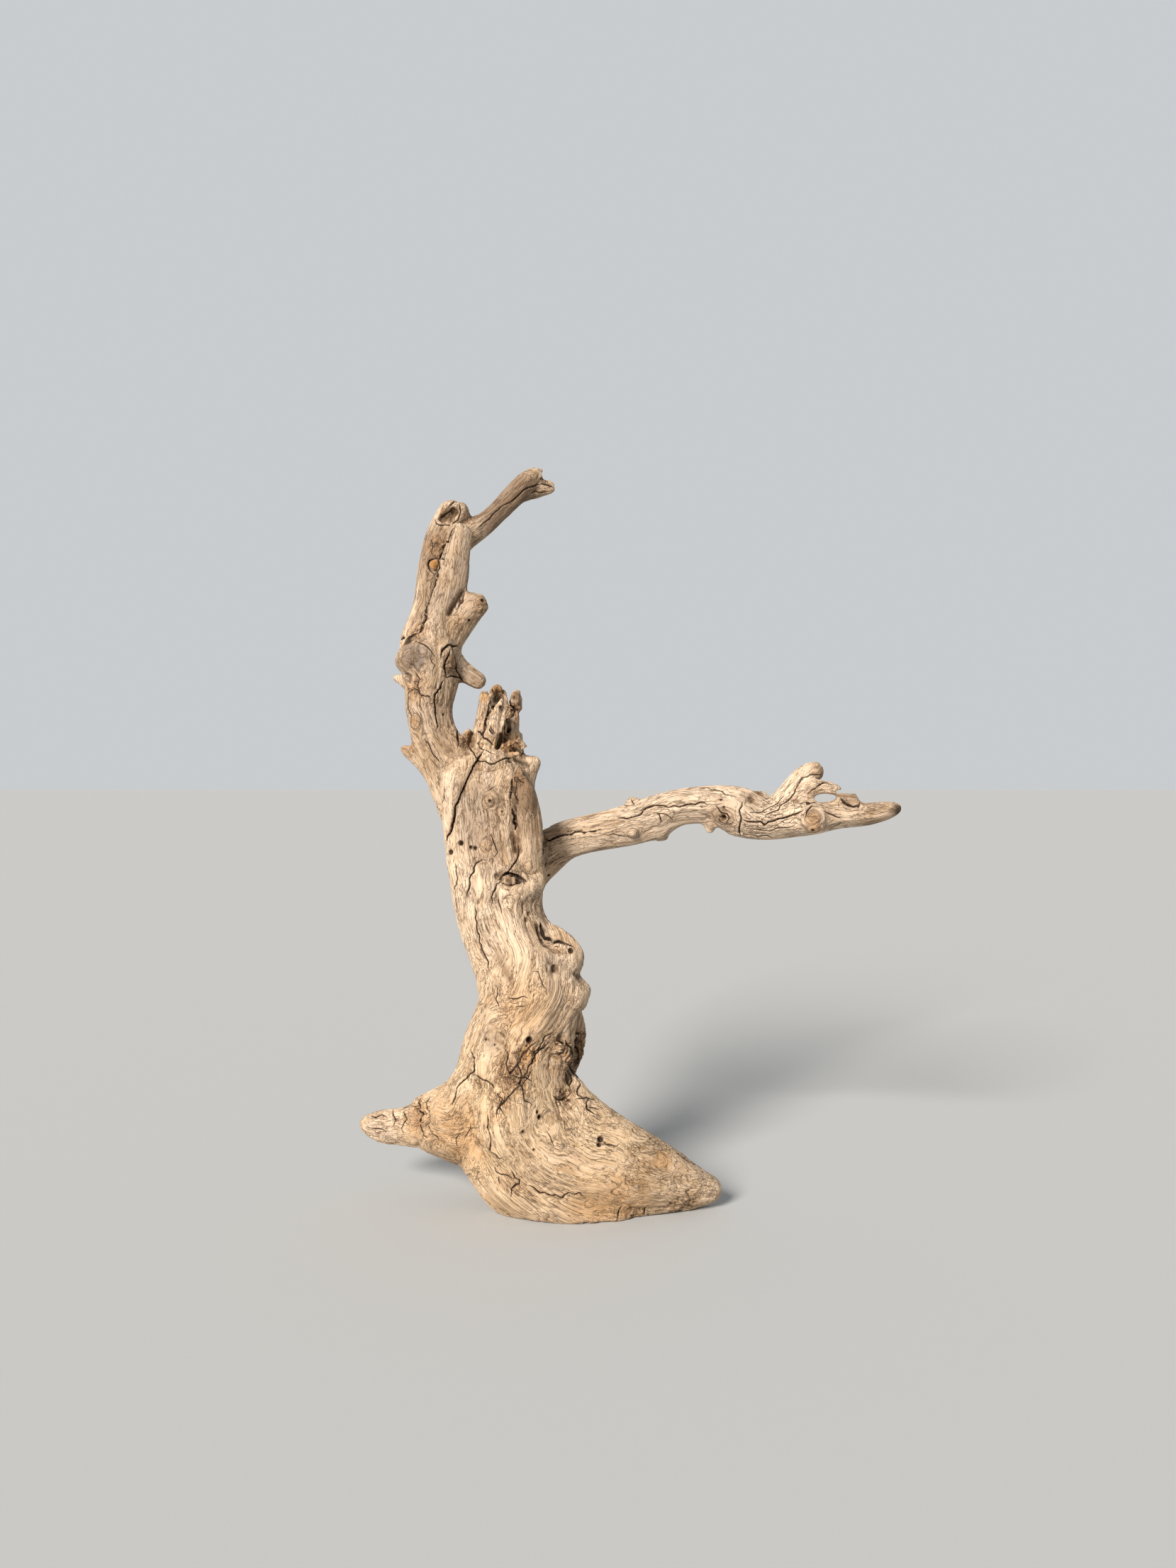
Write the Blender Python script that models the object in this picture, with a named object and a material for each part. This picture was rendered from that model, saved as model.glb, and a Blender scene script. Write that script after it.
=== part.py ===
"""A weathered piece of driftwood that stands on its worn root.

Lengths are in millimetres until a mesh is made. X runs to the right as the piece is seen from the front,
Y runs to the back and Z runs up. The origin is on the flat foot, which lies at Z = 0.
"""

import math

import bmesh
import bpy
from mathutils import Vector, noise
from mathutils.bvhtree import BVHTree
from mathutils.kdtree import KDTree

MM = 0.001

# How finely the limbs are laid out and how the fused wood is meshed.
RING_STEP = 4.0
RING_SIDES = 28
ROOT_BLUNTNESS = 0.7
DOME_ANGLES = (30, 55, 75)
SKIN_VOXEL = 1.9
TRIANGLE_BUDGET = 11400
SMALLEST_EDGE = 0.001

# Fillets between the limbs, and what the smoothing that makes them takes off a limb's radius.
FILLET_SOFTNESS = 0.5
FILLET_ROUNDS = 4
WIDE_FILLET_ROUNDS = 30
SMOOTHING_ALLOWANCE = 0.6

# Where the wood counts as thick: fully below one height, and by a share up the trunk.
THICK_BELOW = 100.0
THIN_ABOVE = 225.0
THIN_RIGHT_OF = -5.0
TRUNK_SHARE = 0.35

# The foot: the wood is worn off level at this height.
FOOT_LEVEL = 0.0

# Furrows that run up each limb, as a share of its radius, and the length in which they wind round once.
FURROW_DEPTH = 0.05
FURROW_COUNT = 5
FURROW_WINDING = 345.0

# Soft lumps in each limb and in each knot, as a share of the radius.
LUMP_DEPTH = 0.08
LUMP_LENGTH = 42.0
KNOT_LUMP_DEPTH = 0.14
KNOT_LUMPS = 1.6
LIMB_SEED = 7.3
KNOT_SEED = 0.37

WOOD_COLOUR = (0.52, 0.38, 0.24, 1)
WOOD_ROUGHNESS = 0.85

# A limb is (depth of its section over its width, bluntness of its tip, stations).
# Each station is (x, y, z, half-width), from the root of the limb to its tip.
LIMBS = {
    "trunk": (0.92, 0.6, [
        (-40, 0, 26, 26), (-46, -2, 44, 38), (-50, -2, 68, 44), (-53, 2, 98, 41), (-47, 6, 126, 38),
        (-41, 10, 151, 35),
        (-48, 14, 173, 32.5), (-60, 18, 195, 31.5), (-67, 22, 215, 32.5), (-70, 28, 241, 35),
        (-72, 36, 272, 36.5),
        (-76, 42, 294, 36), (-80, 45, 308, 31),
    ]),
    "heel": (0.86, 1.0, [
        (-62, 0, 66, 36), (-35, -4, 49, 42), (-5, -6, 35, 41), (20, -6, 29, 36.5), (45, -4, 22, 29),
        (68, -2, 16, 20), (84, 0, 13, 12),
    ]),
    "belly": (1.0, 1.0, [
        (-70, 0, 48, 26), (-46, -6, 22, 29), (-18, -10, 12, 26), (12, -9, 8, 22), (38, -4, 6, 15),
    ]),
    "back_root": (0.8, 0.8, [(-44, 14, 58, 34), (-50, 30, 34, 33), (-54, 42, 14, 28)]),
    "left_root": (0.9, 0.8, [
        (-65, 4, 62, 38), (-80, 8, 59, 34), (-94, 13, 57, 30.5), (-110, 21, 54, 24), (-121, 27, 51, 19),
        (-129, 31, 50, 16),
    ]),
    "left_tip": (0.95, 0.9, [
        (-122, 30, 48, 14.5), (-142, 38, 47, 13.6), (-156, 42, 46, 12), (-164, 44, 46, 8.4),
    ]),
    "left_column": (1.0, 0.8, [
        (-97, 50, 318, 15), (-94, 25, 293, 14), (-90, 17, 262, 14), (-85, 11, 233, 14),
        (-79, 8, 203, 14.5),
        (-66, 2, 169, 15), (-58, -9, 139, 17), (-63, -14, 112, 19), (-76, -11, 88, 21), (-93, -1, 68, 20),
    ]),
    "right_column": (0.9, 0.8, [
        (-44, 18, 244, 12), (-46, 16, 226, 13.5), (-46, 14, 208, 13.5), (-42, 12, 190, 12),
    ]),
    "eye_shelf": (0.8, 0.8, [(-72, 5, 219, 9), (-54, 2, 222, 11), (-40, 9, 229, 10), (-38, 16, 238, 8)]),
    "back_column": (0.9, 0.8, [
        (-98, 68, 304, 18), (-84, 60, 262, 18), (-74, 43, 222, 17), (-64, 37, 190, 16),
        (-52, 34, 160, 17),
        (-46, 31, 128, 18), (-42, 30, 96, 20), (-34, 32, 62, 22), (-22, 42, 30, 20),
    ]),
    "left_branch": (0.9, 1.0, [
        (-88, 44, 286, 25), (-103, 51, 313, 20.5), (-115, 56, 335, 17.5), (-120, 58, 355, 17.5),
        (-119, 60, 374, 20), (-119, 62, 392, 23), (-119, 64, 404, 22), (-117, 66, 416, 19),
    ]),
    "front_limb": (0.85, 0.5, [
        (-117, 60, 408, 17), (-113, 61, 424, 13.5), (-107, 64, 443, 12.6), (-104, 68, 458, 12.6),
        (-102, 74, 477, 11), (-99, 79, 497, 9.8),
    ]),
    "back_limb": (0.9, 0.7, [
        (-134, 70, 402, 12), (-136, 76, 412, 9.6), (-133, 80, 424, 8.4), (-128, 83, 440, 8),
        (-126, 85, 456, 8.2),
        (-124, 87, 468, 9), (-121, 89, 480, 10), (-117, 91, 494, 10.6), (-111, 92, 505, 11.5),
        (-106, 92, 516, 10),
    ]),
    "top_twig": (0.9, 1.0, [
        (-108, 88, 478, 9), (-98, 94, 494, 10.5), (-84, 100, 505, 9.4), (-73, 106, 516, 8.4),
        (-61, 112, 530, 9), (-50, 118, 543, 9), (-43, 120, 551, 6),
    ]),
    "top_prong": (0.8, 1.0, [(-54, 117, 537, 6), (-41, 121, 542, 4.4), (-30, 123, 545, 2.4)]),
    "low_prong": (0.8, 1.0, [
        (-57, 116, 532, 5.5), (-44, 120, 536, 5), (-34, 122, 538, 3.4), (-28, 122, 540, 2.4),
    ]),
    "right_stub": (0.8, 0.4, [
        (-106, 63, 415, 14), (-95, 65, 428, 12), (-86, 66, 436, 9.4), (-80, 66, 439, 7.6),
    ]),
    "hook": (0.85, 0.9, [
        (-110, 65, 397, 12), (-100, 65, 389, 9), (-91, 64, 383, 7.4), (-83, 62, 378, 6.6),
    ]),
    "left_nub": (0.9, 0.8, [(-134, 62, 374, 6), (-142, 62, 379, 3.8), (-147, 62, 381, 3)]),
    "left_twig": (0.9, 0.8, [
        (-106, 55, 296, 10), (-124, 56, 315, 6), (-134, 54, 323, 4.4), (-139, 53, 327, 3.4),
    ]),
    "crown": (0.85, 0.4, [
        (-68, 52, 300, 24), (-69, 53, 313, 20), (-69, 54, 326, 18), (-69, 55, 337, 16.5),
        (-69, 56, 345, 13),
    ]),
    "crown_left_shard": (1.0, 0.8, [
        (-80, 47, 330, 8), (-78.5, 46, 345, 6.6), (-76.5, 45, 358, 6), (-75.5, 45, 366, 5.2),
    ]),
    "crown_back_shard": (0.8, 0.7, [
        (-72, 62, 333, 10), (-69, 63, 352, 8.4), (-68, 64, 363, 7.6), (-68, 64, 369, 6.4),
    ]),
    "crown_front_shard": (0.6, 0.8, [
        (-76, 38, 316, 9), (-73, 36, 332, 8.8), (-68, 36, 345, 8), (-65, 36.5, 353, 5.8),
        (-63, 37, 359, 3.2),
    ]),
    "crown_right_shard": (0.9, 0.7, [
        (-58, 57, 324, 10), (-57, 58, 341, 8), (-55.5, 58, 354, 5.6), (-54.5, 58, 366, 5),
    ]),
    "shoulder": (0.9, 0.8, [(-54, 50, 300, 15), (-45, 52, 312, 9), (-40, 53, 317, 5.5)]),
    "thumb": (0.85, 0.8, [
        (-42, 16, 232, 9), (-41, 9, 248, 10), (-42, 6, 263, 10), (-43, 6, 278, 9.6), (-46, 8, 293, 8.4),
        (-48, 10, 302, 7), (-50, 12, 307, 5),
    ]),
    "arm": (0.95, 0.9, [
        (-54, 58, 232, 20), (-34, 57, 245, 17), (-16, 52, 257, 14.6), (11, 44, 265, 14),
        (32, 38, 270, 15.2),
        (50, 34, 276, 15.8), (65, 30, 283, 13.8), (83, 26, 285, 13.8), (98, 22, 284, 15.6),
        (111, 20, 280, 18.5),
        (124, 18, 275, 15.4), (139, 16, 274, 13.8), (160, 12, 275, 11.7), (178, 10, 278, 9.8),
        (198, 6, 278, 8.2),
        (212, 3, 281, 6.6), (219, 2, 283, 4.6),
    ]),
    "arm_root": (0.8, 0.6, [
        (-40, 56, 240, 16), (-54, 52, 218, 17), (-58, 44, 188, 15), (-48, 36, 156, 13),
    ]),
    "arm_fork": (0.7, 0.9, [
        (130, 16, 274, 12), (145, 18, 290, 10), (156, 20, 303, 9.6), (165, 22, 310, 7.4),
    ]),
    "fork_twig": (0.9, 0.9, [
        (152, 15, 292, 8), (164, 11, 298, 5.8), (173, 8, 297, 4.6), (179, 7, 296, 3.4),
    ]),
    "arm_knob": (1.0, 0.6, [(158, 8, 281, 9), (160, 1, 275, 9), (161, -1, 269, 6.5)]),
    "arm_stub": (0.9, 0.5, [(175, 9, 280, 6.5), (184, 8, 287, 5.4), (191, 8, 289, 5.4)]),
    "burl_stub": (0.9, 0.7, [(-40, 16, 190, 10), (-24, 12, 191, 7.6), (-12, 11, 185, 5.4)]),
    "back_ridge": (1.2, 0.8, [
        (-22, 20, 146, 10), (-12, 20, 128, 9), (-11, 20, 112, 9.4), (-18, 18, 96, 12),
    ]),
    "heel_ridge": (0.8, 0.8, [
        (-24, -2, 96, 12), (-10, -8, 76, 15), (14, -8, 57, 15), (40, -6, 41, 12), (64, -4, 30, 9),
    ]),
}

# Burls, knots and healed scars: a swelling is (x, y, z, half-width, half-depth, half-height).
SWELLINGS = {
    "upper_burl": (-17, 9, 175, 15, 15, 14),
    "lower_burl": (-14, 8, 150, 17, 17, 15),
    "knotted_lump": (-20, -12, 110, 11, 10, 13),
    "root_knee": (-117, 18, 64, 13, 14, 12),
    "grey_knob": (-132, 55, 394, 14, 14, 11),
    "branch_knot": (-128, 50, 345, 6, 6, 6),
    "hook_scar": (-106, 50, 394, 7, 7, 13),
    "top_lip": (-99, 92, 514, 6, 7, 8),
    "stub_corner": (-90, 64, 441, 6, 6, 6),
    "crown_foot": (-56, 54, 318, 11, 9, 9),
    "crown_crumb": (-91, 46, 331, 6.5, 6, 6),
    "arm_top_knot": (33, 34, 285, 5, 5, 5),
    "arm_back_scar": (125, 24, 291, 6.5, 6, 5),
    "arm_low_flake": (52, 34, 262, 9, 8, 4.5),
    "arm_spur": (89, 24, 268, 4, 4, 5),
    "arm_face_knot": (33, 24, 265, 5, 4, 4),
    "arm_bend_knot": (101, 9, 283, 7, 5, 7),
    "eye_ball": (-56, 2, 232, 5, 6, 4.5),
    "trunk_knot": (-71, 1, 251, 9, 5, 9),
    "upper_eye_knot": (-69, 6, 289, 7, 4, 7),
    "neck_knot": (-52, -27, 96, 9, 5, 12),
    "back_burl": (-62, 58, 205, 20, 12, 24),
    "back_knot": (-52, 70, 262, 12, 8, 14),
    "heel_knot": (-8, 34, 58, 16, 12, 13),
}

# Hollows and crevices pressed into the fused wood: (radius, depth, points along it).
HOLLOW_SHAPE = 1.5
HOLLOWS = {
    "eye_upper_lid": (3.2, 5.0, [(-64, -2, 234), (-56, -6, 238), (-48, -1, 235)]),
    "eye_lower_lid": (2.8, 3.5, [(-62, -4, 230), (-56, -6, 227), (-49, -3, 230)]),
    "thumb_crevice": (3.6, 6.0, [
        (-56, 8, 302), (-55, 2, 290), (-54, 0, 276), (-52, 2, 262), (-50, 6, 252),
    ]),
    "long_crack": (3.0, 3.0, [
        (-78, 20, 322), (-84, 18, 306), (-90, 10, 292), (-95, 8, 278), (-100, 8, 262),
    ]),
    "burl_crevice": (3.2, 6.0, [(-33, 0, 200), (-31, -4, 190), (-22, -8, 187), (-12, -6, 183)]),
    "burl_dimple": (6.0, 2.5, [(-24, -12, 168)]),
    "lump_crevice": (4.5, 7.0, [(-17, -14, 122), (-11, -12, 112), (-9, -10, 102), (-14, -12, 92)]),
    "top_cup": (9.0, 4.5, [(-113, 78, 508), (-106, 78, 512)]),
    "limb_seam": (2.6, 4.0, [
        (-107, 74, 498), (-111, 72, 480), (-115, 72, 462), (-119, 70, 444), (-124, 66, 428),
        (-128, 60, 412),
    ]),
    "stub_crevice": (2.8, 3.5, [(-94, 58, 446), (-99, 54, 436), (-102, 50, 428)]),
    "hook_crevice": (2.4, 3.5, [(-98, 50, 406), (-97, 48, 394), (-97, 50, 382)]),
    "crown_hollow": (5.0, 6.0, [(-68, 46, 362), (-68, 46, 352)]),
    "crown_split": (3.4, 5.0, [(-58, 40, 346), (-58, 36, 334)]),
    "crown_seam": (2.6, 3.0, [
        (-90, 34, 322), (-84, 24, 313), (-74, 16, 311), (-62, 18, 314), (-52, 28, 321),
    ]),
    "arm_crevice": (2.8, 3.5, [(-34, 40, 260), (-14, 38, 266), (8, 31, 268), (26, 26, 273)]),
    "arm_long_check": (2.2, 2.2, [(40, 22, 283), (60, 18, 285), (82, 12, 286)]),
    "arm_knot_hole": (4.5, 3.5, [(96, 4, 278)]),
    "root_collar": (3.0, 3.0, [(-120, 12, 68), (-121, 8, 56), (-122, 14, 42), (-122, 26, 36)]),
    "neck_pit": (4.0, 2.5, [(-43, -26, 118)]),
    "back_split": (4.0, 6.0, [(-92, 78, 292), (-80, 74, 262), (-72, 62, 236), (-70, 54, 212)]),
    "back_hollow": (9.0, 5.0, [(-34, 48, 128), (-30, 46, 112)]),
}


def start_clean():
    for obj in list(bpy.data.objects):
        bpy.data.objects.remove(obj)


def spline(stations):
    """Stations every RING_STEP along a smooth curve through the given ones, as (point, half-width)."""
    rows = [Vector(row) for row in stations]
    rows = [2 * rows[0] - rows[1], *rows, 2 * rows[-1] - rows[-2]]
    path = []
    for before, start, end, after in zip(rows, rows[1:], rows[2:], rows[3:]):
        steps = max(1, round((end - start).length / RING_STEP))
        for step in range(steps):
            t = step / steps
            path.append(0.5 * (
                2 * start + (end - before) * t
                + (2 * before - 5 * start + 4 * end - after) * t**2
                + (3 * start - before - 3 * end + after) * t**3
            ))
    path.append(rows[-2])
    return [(Vector(row[:3]), row[3]) for row in path]


def dome(path, bluntness):
    """The stations that close the end of a path in a low dome, and the point at its top."""
    (before, _), (tip, radius) = path[-2:]
    ahead = (tip - before).normalized() * radius * bluntness
    angles = [math.radians(angle) for angle in DOME_ANGLES]
    return [(tip + ahead * math.sin(a), radius * math.cos(a)) for a in angles], tip + ahead


def wood_radius(key, angle, travel):
    """The share of a limb's half-width at this place: furrows that wind slowly, and soft lumps."""
    seed = Vector((0, 0, key * LIMB_SEED))
    phase = 2 * math.pi * (noise.noise(seed) + travel / FURROW_WINDING)
    furrow = math.cos(FURROW_COUNT * angle + phase) - 1
    lump = noise.noise(Vector((math.cos(angle), math.sin(angle), travel / LUMP_LENGTH)) + seed)
    return 1 + FURROW_DEPTH * furrow + LUMP_DEPTH * lump


def add_limb(bm, key, section, bluntness, stations):
    """A closed tapering tube whose section stays square to its path, with its depth along Y."""
    path = spline(stations)
    root, root_top = dome(path[::-1], ROOT_BLUNTNESS)
    tip, tip_top = dome(path, bluntness)
    path = root[::-1] + path + tip
    rings = []
    travel = 0.0
    for i, (centre, radius) in enumerate(path):
        ahead = (path[min(i + 1, len(path) - 1)][0] - path[max(i - 1, 0)][0]).normalized()
        back = (Vector((0, 1, 0)) - ahead * ahead.y).normalized()
        side = ahead.cross(back)
        if i:
            travel += (centre - path[i - 1][0]).length
        ring = []
        for k in range(RING_SIDES):
            angle = 2 * math.pi * k / RING_SIDES
            reach = (radius + SMOOTHING_ALLOWANCE) * wood_radius(key, angle, travel)
            point = centre + side * (reach * math.cos(angle)) + back * (reach * section * math.sin(angle))
            ring.append(bm.verts.new(point * MM))
        rings.append(ring)
    for lower, upper in zip(rings, rings[1:]):
        for k in range(RING_SIDES):
            after = (k + 1) % RING_SIDES
            bm.faces.new((lower[k], lower[after], upper[after], upper[k]))
    for ring, top in ((rings[0], root_top), (rings[-1], tip_top)):
        pole = bm.verts.new(top * MM)
        for k in range(RING_SIDES):
            bm.faces.new((ring[k], ring[(k + 1) % RING_SIDES], pole))


def add_swelling(bm, x, y, z, wide, deep, high):
    """An uneven knot or burl."""
    centre = Vector((x, y, z))
    ball = bmesh.ops.create_icosphere(bm, subdivisions=3, radius=1.0)
    for vert in ball["verts"]:
        out = vert.co * (1 + KNOT_LUMP_DEPTH * noise.noise(vert.co * KNOT_LUMPS + centre * KNOT_SEED))
        vert.co = (centre + Vector((out.x * wide, out.y * deep, out.z * high))) * MM


def mesh_object(name, bm):
    bmesh.ops.recalc_face_normals(bm, faces=bm.faces)
    mesh = bpy.data.meshes.new(name)
    bm.to_mesh(mesh)
    bm.free()
    obj = bpy.data.objects.new(name, mesh)
    bpy.context.scene.collection.objects.link(obj)
    return obj


def bake_modifiers(obj):
    """Replaces the object's mesh by the one that its modifiers make."""
    graph = bpy.context.evaluated_depsgraph_get()
    made = bpy.data.meshes.new_from_object(obj.evaluated_get(graph))
    obj.modifiers.clear()
    obj.data = made


def fuse(obj):
    """Grows the limbs and knots together into one skin, with wider fillets in the thick wood."""
    skin = obj.modifiers.new("skin", "REMESH")
    skin.mode = "VOXEL"
    skin.voxel_size = SKIN_VOXEL * MM
    bake_modifiers(obj)
    thick = obj.vertex_groups.new(name="thick_wood")
    for vert in obj.data.vertices:
        thick.add([vert.index], thickness_share(vert.co / MM), "REPLACE")
    for rounds, group in ((FILLET_ROUNDS, ""), (WIDE_FILLET_ROUNDS, thick.name)):
        fillet = obj.modifiers.new("fillet", "SMOOTH")
        fillet.factor = FILLET_SOFTNESS
        fillet.iterations = rounds
        fillet.vertex_group = group
    bake_modifiers(obj)


def thickness_share(spot):
    """1 in the root swelling, falling to a little up the trunk and to 0 in the limbs and the arm."""
    if spot.z > THIN_ABOVE or spot.x > THIN_RIGHT_OF and spot.z > THICK_BELOW:
        return 0.0
    if spot.z < THICK_BELOW:
        return 1.0
    return TRUNK_SHARE


def distance_to_line(spot, points):
    """How far the spot is from the line that runs through the points."""
    if len(points) == 1:
        return (spot - points[0]).length
    gaps = []
    for start, end in zip(points, points[1:]):
        along = end - start
        share = min(1.0, max(0.0, (spot - start).dot(along) / along.length_squared))
        gaps.append((spot - start - along * share).length)
    return min(gaps)


def press_hollows(obj):
    """Moves each hollow's points onto the skin, then pushes the skin in along them."""
    bm = bmesh.new()
    bm.from_mesh(obj.data)
    bm.normal_update()
    tree = BVHTree.FromBMesh(bm)
    finder = KDTree(len(bm.verts))
    bm.verts.ensure_lookup_table()
    for vert in bm.verts:
        finder.insert(vert.co, vert.index)
    finder.balance()
    for radius, depth, points in HOLLOWS.values():
        line = [tree.find_nearest(Vector(point) * MM)[0] for point in points]
        middle = sum(line, Vector()) / len(line)
        reach = max((point - middle).length for point in line) + radius * MM
        for _, index, _ in finder.find_range(middle, reach):
            vert = bm.verts[index]
            gone = distance_to_line(vert.co, line) / (radius * MM)
            if gone < 1:
                vert.co -= vert.normal * depth * MM * (1 - gone * gone) ** HOLLOW_SHAPE
    bm.to_mesh(obj.data)
    bm.free()


def wear_foot(obj):
    """Cuts the wood off level at the foot and closes the cut."""
    bm = bmesh.new()
    bm.from_mesh(obj.data)
    level = Vector((0, 0, FOOT_LEVEL * MM))
    everything = bm.verts[:] + bm.edges[:] + bm.faces[:]
    cut = bmesh.ops.bisect_plane(
        bm, geom=everything, dist=SMALLEST_EDGE * MM, plane_co=level, plane_no=(0, 0, -1), clear_outer=True)
    rim = [item for item in cut["geom_cut"] if isinstance(item, bmesh.types.BMEdge)]
    bmesh.ops.holes_fill(bm, edges=rim, sides=0)
    bmesh.ops.recalc_face_normals(bm, faces=bm.faces)
    bm.to_mesh(obj.data)
    bm.free()


def thin_out(obj, triangles):
    """Leaves the triangles where the form needs them."""
    obj.data.calc_loop_triangles()
    fewer = obj.modifiers.new("fewer", "DECIMATE")
    fewer.ratio = triangles / len(obj.data.loop_triangles)
    bake_modifiers(obj)


def wood_material():
    material = bpy.data.materials.new("driftwood")
    material.use_nodes = True
    shader = material.node_tree.nodes["Principled BSDF"]
    shader.inputs["Base Color"].default_value = WOOD_COLOUR
    shader.inputs["Roughness"].default_value = WOOD_ROUGHNESS
    shader.inputs["Metallic"].default_value = 0.0
    return material


def build():
    start_clean()
    bm = bmesh.new()
    for key, (section, bluntness, stations) in enumerate(LIMBS.values()):
        add_limb(bm, key, section, bluntness, stations)
    for swelling in SWELLINGS.values():
        add_swelling(bm, *swelling)
    wood = mesh_object("driftwood", bm)
    fuse(wood)
    press_hollows(wood)
    thin_out(wood, TRIANGLE_BUDGET)
    wear_foot(wood)
    wood.data.shade_smooth()
    wood.data.materials.append(wood_material())


build()
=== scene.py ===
import math

import bmesh
import bpy
import numpy as np
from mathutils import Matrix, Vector
from mathutils.bvhtree import BVHTree


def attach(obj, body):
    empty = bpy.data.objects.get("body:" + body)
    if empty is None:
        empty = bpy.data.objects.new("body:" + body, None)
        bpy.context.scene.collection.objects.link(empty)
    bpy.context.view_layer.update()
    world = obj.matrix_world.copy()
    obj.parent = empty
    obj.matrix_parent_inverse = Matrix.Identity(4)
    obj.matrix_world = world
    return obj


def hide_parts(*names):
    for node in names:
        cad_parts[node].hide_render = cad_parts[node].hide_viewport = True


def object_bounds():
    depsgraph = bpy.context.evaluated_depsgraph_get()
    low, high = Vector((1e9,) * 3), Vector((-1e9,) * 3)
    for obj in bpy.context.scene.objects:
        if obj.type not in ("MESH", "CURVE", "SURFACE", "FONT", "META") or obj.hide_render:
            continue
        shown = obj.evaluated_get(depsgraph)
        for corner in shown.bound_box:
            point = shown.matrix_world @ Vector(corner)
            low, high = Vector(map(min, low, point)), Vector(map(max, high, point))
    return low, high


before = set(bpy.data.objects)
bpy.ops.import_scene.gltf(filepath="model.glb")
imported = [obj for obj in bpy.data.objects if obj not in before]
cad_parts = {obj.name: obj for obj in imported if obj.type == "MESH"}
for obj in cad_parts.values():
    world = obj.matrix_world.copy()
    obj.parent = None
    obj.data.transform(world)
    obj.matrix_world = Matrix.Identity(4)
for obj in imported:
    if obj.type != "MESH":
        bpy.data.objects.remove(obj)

CAD_BOX = [list(corner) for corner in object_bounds()]
MM = 0.001

# The photograph's camera: level, in front of the foot, its lens and its picture's sides in pixels.
CAMERA_PLACE = (0.0, -0.835, 0.300)
PICTURE = (1659, 2212)
LENS_PIXELS = 1662.0
FILM_HEIGHT_MM = 36.0

# How finely the wood is meshed before and after the carving.
CARVING_VOXEL = 0.8
ROUNDING_LEVELS = 2
ROUNDING_PASSES = 3
FINAL_TRIANGLES = 192000
# How far the points stay inside the solid's box, and how near two corners are that are joined, in mm.
BOX_MARGIN = 0.02
WELD_DISTANCE = 0.001

# The studio: a wide floor, soft light from a window at one side, and light all round. The rise gives how far
# back a way points where that light starts and ends to grow, and its strength before and after.
FLOOR_REACH = 60.0
FLOOR_COLOUR = (0.46, 0.465, 0.46, 1)
FLOOR_ROUGHNESS = 0.9
WINDOW_PLACE = (-1.5, -2.4, 1.9)
WINDOW_WIDTH = math.radians(20)
WINDOW_STRENGTH = 5.5
WINDOW_COLOUR = (1.0, 0.95, 0.89)
LIT_PLACE = (0, 0, 0.25)
AMBIENT_COLOUR = (0.86, 0.89, 0.92, 1)
AMBIENT_RISE = (-0.3, 0.6, 0.27, 0.68)

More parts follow.
